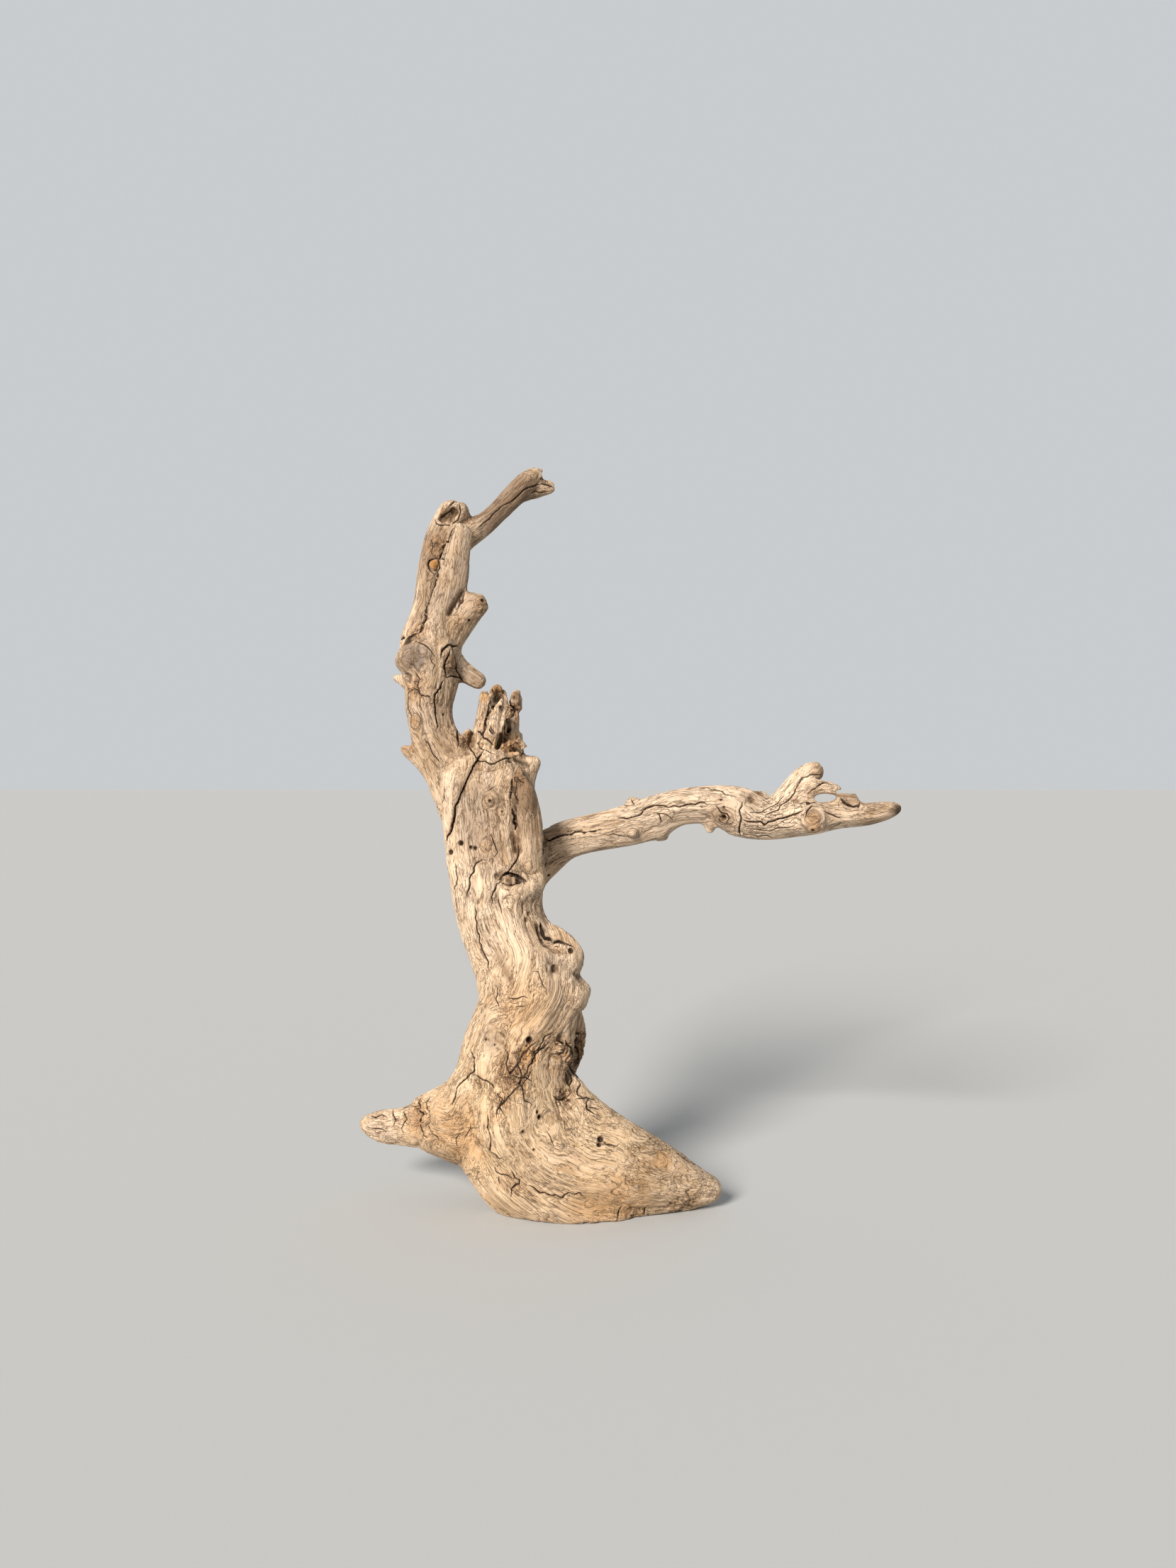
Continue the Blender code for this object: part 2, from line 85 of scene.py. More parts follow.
# The pith of each stem: points (x, y, z, radius) in millimetres, in the order in which its fibres grew.
STEMS = {
    "trunk": [
        (86, 0, 13, 11), (68, -2, 17, 20), (45, -4, 22, 29), (20, -6, 27, 36), (-5, -6, 34, 41),
        (-28, -4, 50, 43), (-44, -1, 80, 44), (-50, 3, 112, 41), (-44, 8, 142, 37), (-47, 13, 172, 34),
        (-60, 19, 198, 33), (-68, 26, 232, 35), (-72, 36, 272, 37), (-71, 46, 305, 33),
        (-69, 54, 335, 18), (-68, 56, 366, 14),
    ],
    "left_root": [
        (-52, 3, 112, 38), (-62, 3, 86, 38), (-78, 8, 64, 35), (-96, 14, 57, 30), (-112, 22, 53, 23),
        (-130, 32, 49, 16), (-150, 40, 46.5, 13), (-168, 44, 46, 8),
    ],
    "back_root": [(-46, 12, 110, 30), (-46, 20, 84, 34), (-50, 32, 40, 33), (-56, 46, 4, 28)],
    "tall_limb": [
        (-84, 30, 240, 24), (-90, 38, 268, 25), (-97, 46, 296, 23), (-106, 52, 318, 20),
        (-115, 56, 336, 18), (-120, 58, 356, 18), (-119, 60, 374, 20), (-118, 61, 392, 22),
        (-116, 61, 410, 18), (-112, 62, 426, 14), (-107, 64, 443, 12.6), (-104, 68, 458, 12.6),
        (-102, 74, 477, 11), (-98, 80, 504, 9.8),
    ],
    "back_limb": [
        (-124, 64, 384, 18), (-130, 68, 398, 12), (-135, 76, 412, 9.6), (-133, 80, 424, 8.6),
        (-128, 83, 440, 8.2), (-126, 85, 456, 8.4), (-124, 87, 468, 9), (-121, 89, 480, 10),
        (-117, 91, 494, 10.6), (-111, 92, 505, 11.5), (-105, 92, 522, 10),
    ],
    "top_twig": [
        (-118, 86, 462, 9), (-108, 90, 479, 9.5), (-98, 94, 493, 10.5), (-84, 100, 505, 9.4),
        (-73, 106, 516, 8.4), (-61, 112, 530, 9), (-50, 118, 543, 9), (-40, 121, 555, 6),
    ],
    "low_prong": [(-61, 114, 528, 7), (-50, 117, 535, 6), (-40, 121, 540, 4.6), (-26, 122, 543, 2.6)],
    "right_stub": [
        (-112, 61, 402, 15), (-104, 63, 417, 14), (-95, 65, 428, 12), (-86, 66, 436, 9.4),
        (-76, 66, 441, 7),
    ],
    "hook": [
        (-120, 63, 404, 15), (-110, 65, 397, 12), (-100, 65, 389, 9), (-91, 64, 383, 7.4),
        (-79, 61, 375, 6.6),
    ],
    "left_twig": [(-98, 50, 276, 14), (-106, 55, 296, 10), (-124, 56, 315, 6), (-142, 52, 330, 3.4)],
    "thumb": [
        (-48, 22, 206, 16), (-44, 16, 232, 11), (-42, 8, 250, 10), (-42, 6, 266, 10), (-44, 7, 284, 9),
        (-51, 13, 312, 5),
    ],
    "arm": [
        (-58, 44, 188, 15), (-56, 50, 212, 17), (-48, 56, 234, 18), (-32, 57, 247, 17),
        (-16, 52, 257, 14.6), (11, 44, 265, 14), (32, 38, 270, 15.2), (50, 34, 276, 15.8),
        (65, 30, 283, 13.8), (83, 26, 285, 13.8), (98, 22, 284, 15.6), (111, 20, 280, 18.5),
        (124, 18, 275, 15.4), (139, 16, 274, 13.8), (160, 12, 275, 11.7), (178, 10, 278, 9.8),
        (198, 6, 278, 8.2), (212, 3, 281, 6.6), (224, 1, 285, 4.6),
    ],
    "arm_fork": [
        (118, 16, 272, 13), (132, 16, 277, 12), (145, 18, 290, 10), (156, 20, 303, 9.6),
        (168, 23, 316, 7),
    ],
    "fork_twig": [(146, 17, 287, 9), (154, 14, 293, 7), (166, 10, 298, 5.6), (183, 6, 296, 3.4)],
    "left_shard": [(-82, 48, 316, 9), (-80, 47, 332, 8), (-76, 45, 358, 6), (-74, 44, 374, 5)],
    "right_shard": [(-60, 55, 316, 10), (-57, 57, 336, 8), (-55, 58, 356, 5.6), (-54, 58, 374, 5)],
}
# How far the fibres wind round a stem: at shares of its length, the turn so far in degrees.
NO_TURN = ((0, 1), (0, 0))
TURNS = {
    "trunk": ((0.33, 0.42, 0.50, 0.57, 0.66, 1.0), (0, 22, 60, 82, 90, 90)),
    "tall_limb": ((0.0, 0.4, 1.0), (0, -30, -55)),
    "arm": ((0.0, 0.5, 1.0), (0, 60, 90)),
}
# A stem's stations are a step apart in mm, and its fibres' frame starts from one side. It is felt as far as
# its pad times its widest radius. Two stems' fibres blend where their distances differ by less than the band,
# in radii. A point that no stem reaches is far from it.
STEM_STEP = 3.0
FIRST_SIDE = (0.3, 1.0, 0.2)
STEM_PAD = 1.35
BLEND_BAND = 0.35
FAR = 99.0

# Cracks as the photograph shows them, in its pixels: (half-width and depth in mm, points).
CRACKS = {
    "limb_seam": (1.15, 5.0, [
        (640, 745), (628, 770), (622, 785), (618, 810), (612, 830), (605, 850), (602, 862), (598, 880),
        (590, 895),
    ]),
    "twig_crack": (0.3, 1.6, [
        (670, 748), (680, 740), (690, 733), (700, 722), (710, 713), (722, 708), (732, 700), (740, 690),
        (750, 687), (765, 684),
    ]),
    "cup_ring": (0.36, 1.6, [(614, 733), (618, 741), (632, 742), (645, 733), (650, 720), (648, 708)]),
    "stub_crevice": (0.54, 2.2, [(656, 836), (650, 848), (645, 860)]),
    "upper_crevice": (1.3, 3.6, [(560, 905), (568, 901), (578, 899), (588, 893)]),
    "hook_arc": (0.7, 2.6, [(622, 930), (625, 915), (635, 908), (647, 911)]),
    "hook_side": (0.55, 2.2, [(643, 922), (643, 940), (645, 953), (655, 965)]),
    "limb_crack": (0.48, 2.4, [
        (627, 958), (622, 970), (615, 980), (612, 988), (613, 998), (616, 1010), (616, 1030),
    ]),
    "fork_crevice": (0.78, 3.5, [(645, 1030), (646, 1040), (645, 1054)]),
    "crown_to_trunk": (0.48, 3.5, [
        (683, 1058), (678, 1066), (671, 1075), (665, 1088), (660, 1100), (655, 1110), (650, 1120),
        (645, 1135), (642, 1150), (638, 1165), (634, 1175), (630, 1187),
    ]),
    "crown_ring": (0.36, 1.8, [
        (660, 1050), (668, 1062), (672, 1070), (680, 1075), (692, 1077), (705, 1073), (720, 1070),
        (735, 1066), (742, 1058),
    ]),
    "shard_foot": (0.48, 2.0, [(672, 1030), (678, 1037), (690, 1045), (697, 1052)]),
    "shard_split": (0.8, 3.0, [(692, 990), (688, 1003), (685, 1013), (683, 1027), (679, 1040)]),
    "thumb_outline": (0.7, 2.8, [(721, 1116), (722, 1102), (725, 1092)]),
    "thumb_crevice": (1.2, 4.4, [
        (722, 1112), (720, 1122), (721, 1134), (724, 1146), (727, 1158), (727, 1172),
    ]),
    "under_thumb": (0.36, 2.0, [(731, 1190), (732, 1205), (728, 1217), (720, 1225), (710, 1232)]),
    "under_knots": (0.36, 1.8, [
        (684, 1212), (672, 1218), (667, 1228), (663, 1240), (660, 1255), (658, 1268),
    ]),
    "left_of_eye": (0.36, 2.0, [(708, 1243), (700, 1248), (696, 1258), (694, 1270), (693, 1280)]),
    "trunk_long": (0.3, 1.5, [
        (670, 1275), (672, 1295), (675, 1315), (678, 1330), (683, 1345), (687, 1358), (691, 1370),
    ]),
    "below_eye": (0.24, 1.0, [(704, 1265), (703, 1280), (708, 1290)]),
    "knot_arc": (0.24, 1.0, [(702, 1106), (690, 1113), (682, 1122), (678, 1135)]),
    "trunk_edge": (0.24, 1.2, [(625, 1106), (627, 1120), (624, 1140), (622, 1160)]),
    "left_grain_split": (0.24, 1.0, [(641, 1215), (645, 1235), (642, 1262), (646, 1290)]),
    "burl_stub_crack": (1.2, 4.2, [
        (762, 1300), (763, 1312), (767, 1322), (780, 1325), (795, 1330), (812, 1336),
    ]),
    "arm_seat": (0.9, 3.0, [(766, 1178), (766, 1190), (766, 1207)]),
    "arm_root_crack": (0.8, 3.2, [(769, 1184), (780, 1183), (800, 1178), (820, 1174), (850, 1170)]),
    "arm_root_low": (0.24, 1.2, [(850, 1177), (870, 1178), (888, 1180)]),
    "arm_first": (0.42, 1.8, [(870, 1154), (885, 1155), (898, 1151), (908, 1143), (918, 1139)]),
    "arm_long": (0.36, 1.8, [
        (905, 1140), (920, 1137), (940, 1137), (970, 1135), (990, 1132), (1000, 1136),
    ]),
    "knob_crack": (0.3, 1.2, [(884, 1122), (890, 1128), (895, 1136)]),
    "arm_collar": (0.36, 2.0, [(1047, 1130), (1044, 1140), (1046, 1155), (1043, 1172), (1045, 1182)]),
    "arm_flow": (0.48, 2.2, [
        (1047, 1157), (1065, 1160), (1080, 1161), (1100, 1155), (1120, 1148), (1135, 1142),
    ]),
    "arm_under": (0.24, 1.0, [(1055, 1178), (1075, 1180), (1095, 1181)]),
    "fork_crease": (0.6, 2.4, [(1128, 1134), (1140, 1133), (1152, 1131)]),
    "fork_twig_crack": (0.36, 1.6, [(1148, 1113), (1160, 1103), (1175, 1102)]),
    "fork_arc": (0.24, 1.2, [(1122, 1107), (1132, 1099), (1145, 1094), (1160, 1093)]),
    "fork_end": (0.24, 1.2, [(1162, 1075), (1161, 1093)]),
    "arm_stub_crack": (0.48, 1.8, [(1185, 1125), (1192, 1132), (1200, 1138), (1212, 1135)]),
    "arm_end_line": (0.3, 1.4, [(1160, 1143), (1175, 1150), (1188, 1155)]),
    "fork_flow": (0.3, 1.2, [(1078, 1150), (1096, 1142), (1112, 1128), (1124, 1112), (1135, 1098)]),
    "fork_flow_low": (0.24, 1.0, [(1056, 1147), (1076, 1145), (1094, 1135), (1108, 1122)]),
    "fork_split": (0.4, 1.6, [(1140, 1120), (1150, 1112), (1157, 1105), (1168, 1103)]),
    "arm_low_flow": (0.24, 1.0, [(1060, 1170), (1085, 1172), (1108, 1168), (1124, 1161)]),
    "arm_ripple": (0.24, 1.0, [(925, 1152), (934, 1147), (945, 1150), (951, 1158)]),
    "arm_top_line": (0.24, 1.0, [(985, 1112), (1003, 1113), (1020, 1118), (1035, 1127)]),
    "waist_crack": (0.24, 1.2, [(715, 1407), (728, 1409), (737, 1406), (746, 1409)]),
    "waist_second": (0.24, 1.0, [(727, 1420), (735, 1421), (742, 1419)]),
    "waist_side": (0.24, 1.2, [(752, 1370), (760, 1372), (763, 1382), (766, 1392), (773, 1398)]),
    "waist_left": (0.24, 1.0, [(699, 1388), (702, 1400), (701, 1412), (705, 1424)]),
    "burl_crevice": (0.78, 3.2, [(797, 1466), (806, 1478), (810, 1494), (801, 1508)]),
    "burl_under": (0.42, 1.8, [(779, 1545), (790, 1552), (800, 1549), (806, 1540)]),
    "rot_upper": (0.3, 1.6, [(782, 1455), (770, 1462), (765, 1475), (755, 1485), (748, 1492)]),
    "rot_left": (0.3, 1.6, [(712, 1478), (718, 1490), (714, 1502), (722, 1515), (716, 1530)]),
    "rot_middle": (0.36, 1.8, [(732, 1490), (730, 1503), (737, 1516), (733, 1530), (741, 1541)]),
    "rot_low": (0.3, 1.6, [(700, 1540), (708, 1550), (703, 1562), (712, 1575)]),
    "rot_slant": (0.36, 1.8, [(776, 1468), (763, 1481), (753, 1495), (745, 1508), (738, 1524)]),
    "rot_slant_left": (0.3, 1.6, [
        (758, 1468), (748, 1478), (739, 1491), (728, 1503), (720, 1520), (711, 1528),
    ]),
    "rot_slant_low": (0.36, 1.8, [(736, 1527), (724, 1540), (713, 1551), (702, 1564), (700, 1578)]),
    "rot_slant_right": (0.3, 1.6, [(753, 1508), (744, 1523), (737, 1539), (741, 1552), (752, 1560)]),
    "root_left": (0.36, 1.8, [
        (663, 1480), (668, 1492), (668, 1510), (660, 1518), (648, 1528), (644, 1538), (640, 1550),
        (637, 1560),
    ]),
    "root_star": (0.5, 2.2, [(829, 1549), (827, 1556), (828, 1563), (834, 1568), (841, 1573)]),
    "star_top": (0.3, 1.6, [(811, 1550), (821, 1548), (831, 1551), (842, 1553)]),
    "collar_crack": (0.6, 2.4, [
        (593, 1548), (590, 1560), (595, 1572), (591, 1585), (596, 1597), (603, 1606),
    ]),
    "collar_inner": (0.4, 1.8, [(574, 1556), (568, 1568), (572, 1580), (566, 1592), (571, 1603)]),
    "collar_outer": (0.4, 1.8, [
        (607, 1545), (601, 1556), (606, 1570), (603, 1584), (610, 1598), (620, 1610),
    ]),
    "tip_crumbs": (0.36, 1.6, [(556, 1560), (552, 1570), (558, 1580), (554, 1592)]),
    "tip_wrinkle": (0.36, 1.4, [(522, 1574), (530, 1577), (537, 1573), (546, 1576)]),
    "tip_wrinkle_low": (0.3, 1.2, [(518, 1590), (527, 1594), (536, 1591), (545, 1597)]),
    "root_inner": (0.24, 1.4, [(664, 1585), (662, 1597), (654, 1607)]),
    "root_long": (0.36, 1.8, [
        (688, 1570), (687, 1590), (692, 1610), (693, 1623), (702, 1632), (710, 1635),
    ]),
    "foot_star": (0.36, 1.8, [(720, 1650), (728, 1663), (735, 1670), (723, 1674), (720, 1690)]),
    "foot_long": (0.42, 2.2, [
        (745, 1672), (760, 1680), (775, 1686), (792, 1689), (803, 1684), (818, 1686), (828, 1690),
    ]),
    "foot_small": (0.24, 1.2, [(704, 1657), (705, 1672)]),
    "toe_first": (0.36, 1.6, [(878, 1700), (873, 1712), (870, 1724)]),
    "toe_second": (0.3, 1.4, [(913, 1700), (908, 1712), (910, 1726)]),
    "toe_knot_crack": (0.24, 1.2, [(850, 1608), (857, 1616), (868, 1617), (875, 1612)]),
    "belly_crack": (0.24, 1.2, [(770, 1595), (777, 1603), (780, 1610), (782, 1618)]),
    "toe_upper": (0.24, 1.0, [(891, 1592), (896, 1600)]),
}
# Cracks that run off from those, or close beside them, in the same form.
SIDE_CRACKS = {
    "cup_wall": (0.42, 1.8, [(645, 703), (638, 710), (632, 716)]),
    "cup_floor": (0.36, 1.4, [(620, 729), (627, 727), (634, 722), (640, 714)]),
    "shard_bend": (0.3, 1.6, [(678, 1037), (673, 1050), (680, 1057), (690, 1060), (700, 1065)]),
    "shard_cross": (0.24, 1.4, [(688, 1028), (693, 1035), (700, 1038)]),
    "eye_lid": (0.95, 2.6, [
        (704, 1240), (709, 1234), (717, 1231), (725, 1234), (732, 1240), (744, 1244),
    ]),
    "eye_under": (0.3, 1.4, [(704, 1242), (709, 1247), (718, 1249), (728, 1248), (736, 1245)]),
    "thumb_cross": (0.3, 1.2, [(729, 1098), (735, 1103), (742, 1105)]),
    "thumb_chip": (0.3, 1.4, [(724, 1118), (729, 1124), (733, 1130), (731, 1136)]),
    "thumb_long": (0.3, 1.2, [(728, 1092), (727, 1103), (730, 1114), (726, 1124)]),
    "burl_knot_ring": (0.4, 1.2, [
        (783, 1474), (787, 1470), (793, 1471), (797, 1477), (795, 1484), (788, 1487), (783, 1482),
    ]),
    "burl_knot_spiral": (0.3, 1.2, [(789, 1481), (793, 1478), (796, 1482), (793, 1488), (786, 1490)]),
    "burl_across": (0.4, 1.8, [(807, 1458), (814, 1459), (821, 1458)]),
    "root_wall": (0.36, 1.8, [(800, 1512), (806, 1520), (801, 1532), (808, 1543)]),
    "root_wall_right": (0.36, 1.8, [(812, 1520), (818, 1532), (814, 1543), (826, 1552)]),
    "burl_wall": (0.7, 2.0, [(815, 1462), (812, 1474), (817, 1486), (814, 1498), (818, 1508)]),
    "knot_ring": (0.3, 1.2, [(690, 1175), (698, 1188), (701, 1200), (697, 1210)]),
    "rot_patch": (0.3, 1.6, [(745, 1478), (738, 1485), (735, 1500)]),
    "root_branch": (0.3, 1.6, [(668, 1515), (680, 1522), (692, 1527), (697, 1537)]),
    "star_tail": (0.24, 1.2, [(828, 1563), (837, 1561), (847, 1566)]),
    "root_twin": (0.24, 1.4, [(650, 1598), (643, 1607), (645, 1618)]),
    "foot_branch": (0.3, 1.4, [(698, 1645), (700, 1653), (715, 1660), (728, 1663)]),
    "hook_plate": (0.55, 2.2, [(636, 914), (630, 930), (627, 945), (630, 957)]),
    "hook_cross": (0.24, 1.2, [(632, 942), (640, 944), (648, 941)]),
    "hook_low": (0.5, 2.0, [(629, 957), (640, 952), (650, 957)]),
    "knob_over": (0.3, 1.4, [(586, 905), (598, 909), (608, 917), (614, 928)]),
    "knob_line": (0.24, 1.2, [(606, 925), (612, 940), (611, 955)]),
    "limb_first_check": (0.3, 1.6, [(586, 945), (592, 955), (588, 968), (594, 980)]),
    "limb_second_check": (0.3, 1.6, [(578, 975), (587, 972), (594, 980), (604, 983), (609, 990)]),
    "limb_third_check": (0.24, 1.2, [(594, 980), (590, 992), (596, 1001)]),
    "limb_left_line": (0.24, 1.2, [(571, 955), (576, 975), (577, 1000), (582, 1020)]),
    "limb_foot_line": (0.3, 1.4, [(597, 1040), (607, 1055), (614, 1068), (622, 1078)]),
    "upper_checks": (0.24, 1.2, [(606, 760), (612, 768), (607, 778), (615, 785)]),
    "knot_outline": (0.5, 1.8, [(627, 789), (617, 787), (608, 790), (603, 797), (608, 806), (615, 812)]),
    "rot_cross": (0.3, 1.5, [(722, 1515), (731, 1521), (742, 1519), (752, 1526)]),
    "arm_plate": (0.3, 1.4, [(921, 1146), (930, 1150), (934, 1158), (928, 1164)]),
    "arm_eye_lid": (0.4, 1.6, [
        (1009, 1136), (1014, 1143), (1019, 1146), (1026, 1147), (1030, 1153), (1026, 1160),
    ]),
    "arm_eye_low": (0.3, 1.4, [(1013, 1152), (1017, 1159), (1024, 1161)]),
    "stub_under": (0.5, 1.8, [(1186, 1127), (1193, 1135), (1201, 1139), (1211, 1137), (1214, 1130)]),
    "face_rim": (0.4, 1.4, [(1134, 1160), (1136, 1147), (1143, 1138), (1154, 1137)]),
    "hood_split": (0.4, 1.6, [(693, 971), (697, 977), (700, 984)]),
    "neck_split": (0.4, 1.8, [(728, 1000), (724, 1008), (718, 1016)]),
    "face_split": (0.3, 1.4, [(690, 1022), (693, 1030), (700, 1036)]),
    "crown_wall": (0.4, 1.6, [(712, 1022), (714, 1032), (718, 1038)]),
    "head_ring": (0.6, 2.0, [(719, 984), (721, 992), (724, 999), (730, 1003), (735, 1000)]),
    "front_shard_side": (0.5, 2.0, [(686, 1012), (691, 1003), (697, 998), (704, 994)]),
    "prong_slot": (0.6, 2.4, [(762, 682), (769, 685), (776, 687), (782, 688)]),
    "prong_upper_slot": (0.5, 2.0, [(762, 674), (768, 677), (774, 680)]),
    "prong_side": (0.3, 1.4, [(748, 697), (757, 694), (766, 693), (775, 693)]),
}
CRACK_LAYERS = ("one", "two")
# How far a crack is felt, the narrowest that is carved and the narrowest that counts, and how long its ends
# narrow, in mm.
CRACK_REACH = 4.0
CARVED_HALF_WIDTH = 0.65
LEAST_HALF_WIDTH = 0.05
CRACK_END = 7
# A traced crack: the pixels between its kinks and between its points, how far a kink strays in pixels, and
# the step in mm at which it leaves one form for another.
CRACK_KINK = 6.0
TRACED_STEP = 1.6
CRACK_WIGGLE = 1.0
CRACK_JUMP = 6.0
# What the photograph doesn't show: how many cracks and holes, how far back their surface has to face, and in
# mm the cracks' step, their least and greatest length and half-width, and the holes' radius.
HIDDEN_CRACKS = 110
HIDDEN_HOLES = 26
CRACKS_FACE_BACK = 0.15
HOLES_FACE_BACK = 0.3
HIDDEN_STEP = 1.5
HIDDEN_LENGTHS = (12, 55)
HIDDEN_HALF_WIDTHS = (0.3, 0.75)
HIDDEN_RADII = (0.7, 1.9)

# Insects' holes in the photograph's pixels: (x, y, radius in mm, depth in mm).
HOLES = {
    "stub": (662, 875, 1.1, 2.0), "stub_end": (681, 847, 1.5, 2.2), "limb": (626, 1008, 0.8, 1.6),
    "fork": (619, 1106, 0.9, 2.0), "knot": (691, 1130, 1.1, 2.0), "small_knot": (708, 1145, 0.8, 1.2),
    "trunk_left": (650, 1189, 1.7, 3.0), "trunk_pale": (636, 1202, 1.8, 1.6),
    "trunk_pair": (664, 1195, 1.2, 1.8), "trunk_pair_right": (670, 1196, 1.3, 2.0),
    "side": (774, 1235, 1.2, 2.0), "burl": (805, 1341, 1.9, 2.6), "rot": (747, 1467, 2.3, 4.0),
    "grey": (684, 1466, 0.9, 1.4), "grey_low": (698, 1474, 0.7, 1.2), "belly": (761, 1576, 1.5, 2.2),
    "belly_top": (758, 1569, 1.1, 1.8), "toe": (847, 1607, 2.0, 2.8), "toe_low": (845, 1615, 1.4, 2.4),
    "root": (738, 1597, 1.0, 1.6), "root_low": (753, 1622, 0.8, 1.4),
    "belly_right": (803, 1552, 0.9, 1.4), "arm_knot": (1021, 1153, 1.5, 3.0),
    "arm_face": (1147, 1171, 1.2, 2.0), "arm_speck": (1017, 1128, 0.8, 1.2),
    "arm_speck_low": (1021, 1139, 0.8, 1.2), "shard_end": (707, 997, 1.2, 1.8),
}
# How far outside its rim a hole is felt, in mm.
HOLE_REACH = 4.0

# Splinters and small forms joined to the crown, thumb, burls and top twig: points (x, y, z, radius) in mm.
ADDED_SPLINTERS = {
    "front_tip": [(-71, 36, 338, 5), (-67.5, 35, 349, 4.4), (-65, 35.5, 357, 3), (-63.2, 36, 363, 0.9)],
    "front_flank": [
        (-78, 38, 333, 5), (-76, 36.5, 344, 4), (-74, 37.5, 352, 2.6), (-72.4, 38.5, 358, 0.9),
    ],
    "left_tip": [
        (-79, 46, 350, 5), (-77.8, 45, 359, 4.8), (-77.2, 44.5, 365, 4.4), (-77, 44.5, 369, 2.6),
    ],
    "back_hood": [(-74, 61, 358, 5), (-72, 60, 369, 3.8), (-69, 59, 374, 2.6), (-65, 59, 371, 1.8)],
    "right_head": [
        (-55.5, 57, 356, 3.6), (-55, 55, 362, 5), (-54.4, 55, 367, 4.2), (-53.2, 56, 371, 2.2),
    ],
    "head_chip": [(-58.6, 52, 356, 2), (-59.4, 51, 360, 2.2), (-58, 51, 364, 1.2)],
    "head_front": [(-52.6, 50, 354, 2), (-52, 49.6, 358, 2.4), (-52.6, 50, 361, 1.6)],
    "rubble": [(-62, 38, 326, 3.6), (-58, 38, 330, 3), (-55, 39, 329, 3.2)],
    "rubble_right": [(-53, 42, 333, 3.2), (-50, 43, 331, 2.4), (-48, 45, 327, 3.2)],
    "rubble_front": [(-60, 36, 320, 2.4), (-56, 35.5, 322, 2.2), (-51, 37, 322, 2.4)],
    "left_rubble": [(-93, 42, 328, 4), (-91, 40, 336, 3.4), (-87, 40, 341, 2)],
    "thumb_tip": [
        (-42, 9, 262, 6), (-42.5, 5, 274, 7.4), (-43.5, 3, 284, 7.6), (-45, 3, 294, 7),
        (-47.4, 4, 302, 5.4), (-49.4, 5, 308, 4), (-50.4, 6, 313, 1.6),
    ],
    "thumb_wing": [(-52.6, 1, 284, 2.6), (-53.4, 0, 293, 2.6), (-53.6, 2, 301, 2), (-52, 4, 307, 1)],
    "burl_bridge": [(-24, 2, 172, 7.4), (-18, 0, 164, 8.8), (-15, 1, 155, 9.6)],
    "twig_prong": [(-46, 119, 548, 5), (-41, 121, 553, 3.2), (-37, 121, 554.5, 1.4)],
}
# Gaps cut between the shards and at the fork's mouth, in mm: (x, z, radius) at both ends, and how far back
# (y) they go. All start in front of the wood, and their rings have so many corners.
GAPS = {
    "right_notch": ((-60.1, 375, 3.6), (-59.8, 357, 0.8), 110),
    "left_notch": ((-73.9, 377, 2.4), (-73.2, 363, 0.6), 110),
    "under_hood": ((-67.6, 364.5, 4.1), (-67.4, 356, 3.9), 61),
    "right_slot": ((-60.4, 352, 1.3), (-59.4, 340, 2.7), 53),
    "shadowed_slot": ((-64.6, 337, 2.0), (-66.6, 327, 2.6), 43),
    "neck": ((-49.6, 353.5, 3.7), (-49.4, 341, 3.7), 110),
    "fork_mouth": ((177.7, 294.6, 1.3), (188.5, 294.4, 2.0), 40),
}
GAP_START = -20.0
RING_CORNERS = 10

# Weathered hollows in the photograph's pixels: (x, y, radius in mm, depth in mm).
PITS = {
    "cup": (625, 731, 3.6, 2.6), "cup_right": (641, 722, 3.6, 3.0), "crown_cleft": (716, 1034, 2.8, 2.4),
    "burl_dent": (783, 1366, 3.2, 2.6), "burl_dent_upper": (777, 1357, 3.0, 1.6),
    "eye_corner": (731, 1243, 2.4, 3.2), "eye_left": (707, 1240, 1.6, 1.8),
    "knob_cup": (1060, 1128, 3.2, 2.0), "arm_eye": (1021, 1153, 3.0, 2.2),
    "rot_pocket": (737, 1490, 5.0, 2.6), "rot_pocket_low": (720, 1522, 5.0, 2.2),
    "limb_crevice": (577, 906, 3.0, 2.4), "stub_crevice": (651, 848, 2.6, 2.2),
    "waist_side": (743, 1297, 2.2, 1.6), "waist_side_upper": (746, 1289, 2.2, 1.2),
    "fork_crease": (1139, 1134, 2.6, 1.8), "grey_left": (683, 1466, 2.4, 1.0),
    "burl_foot": (797, 1548, 4.0, 2.2),
}

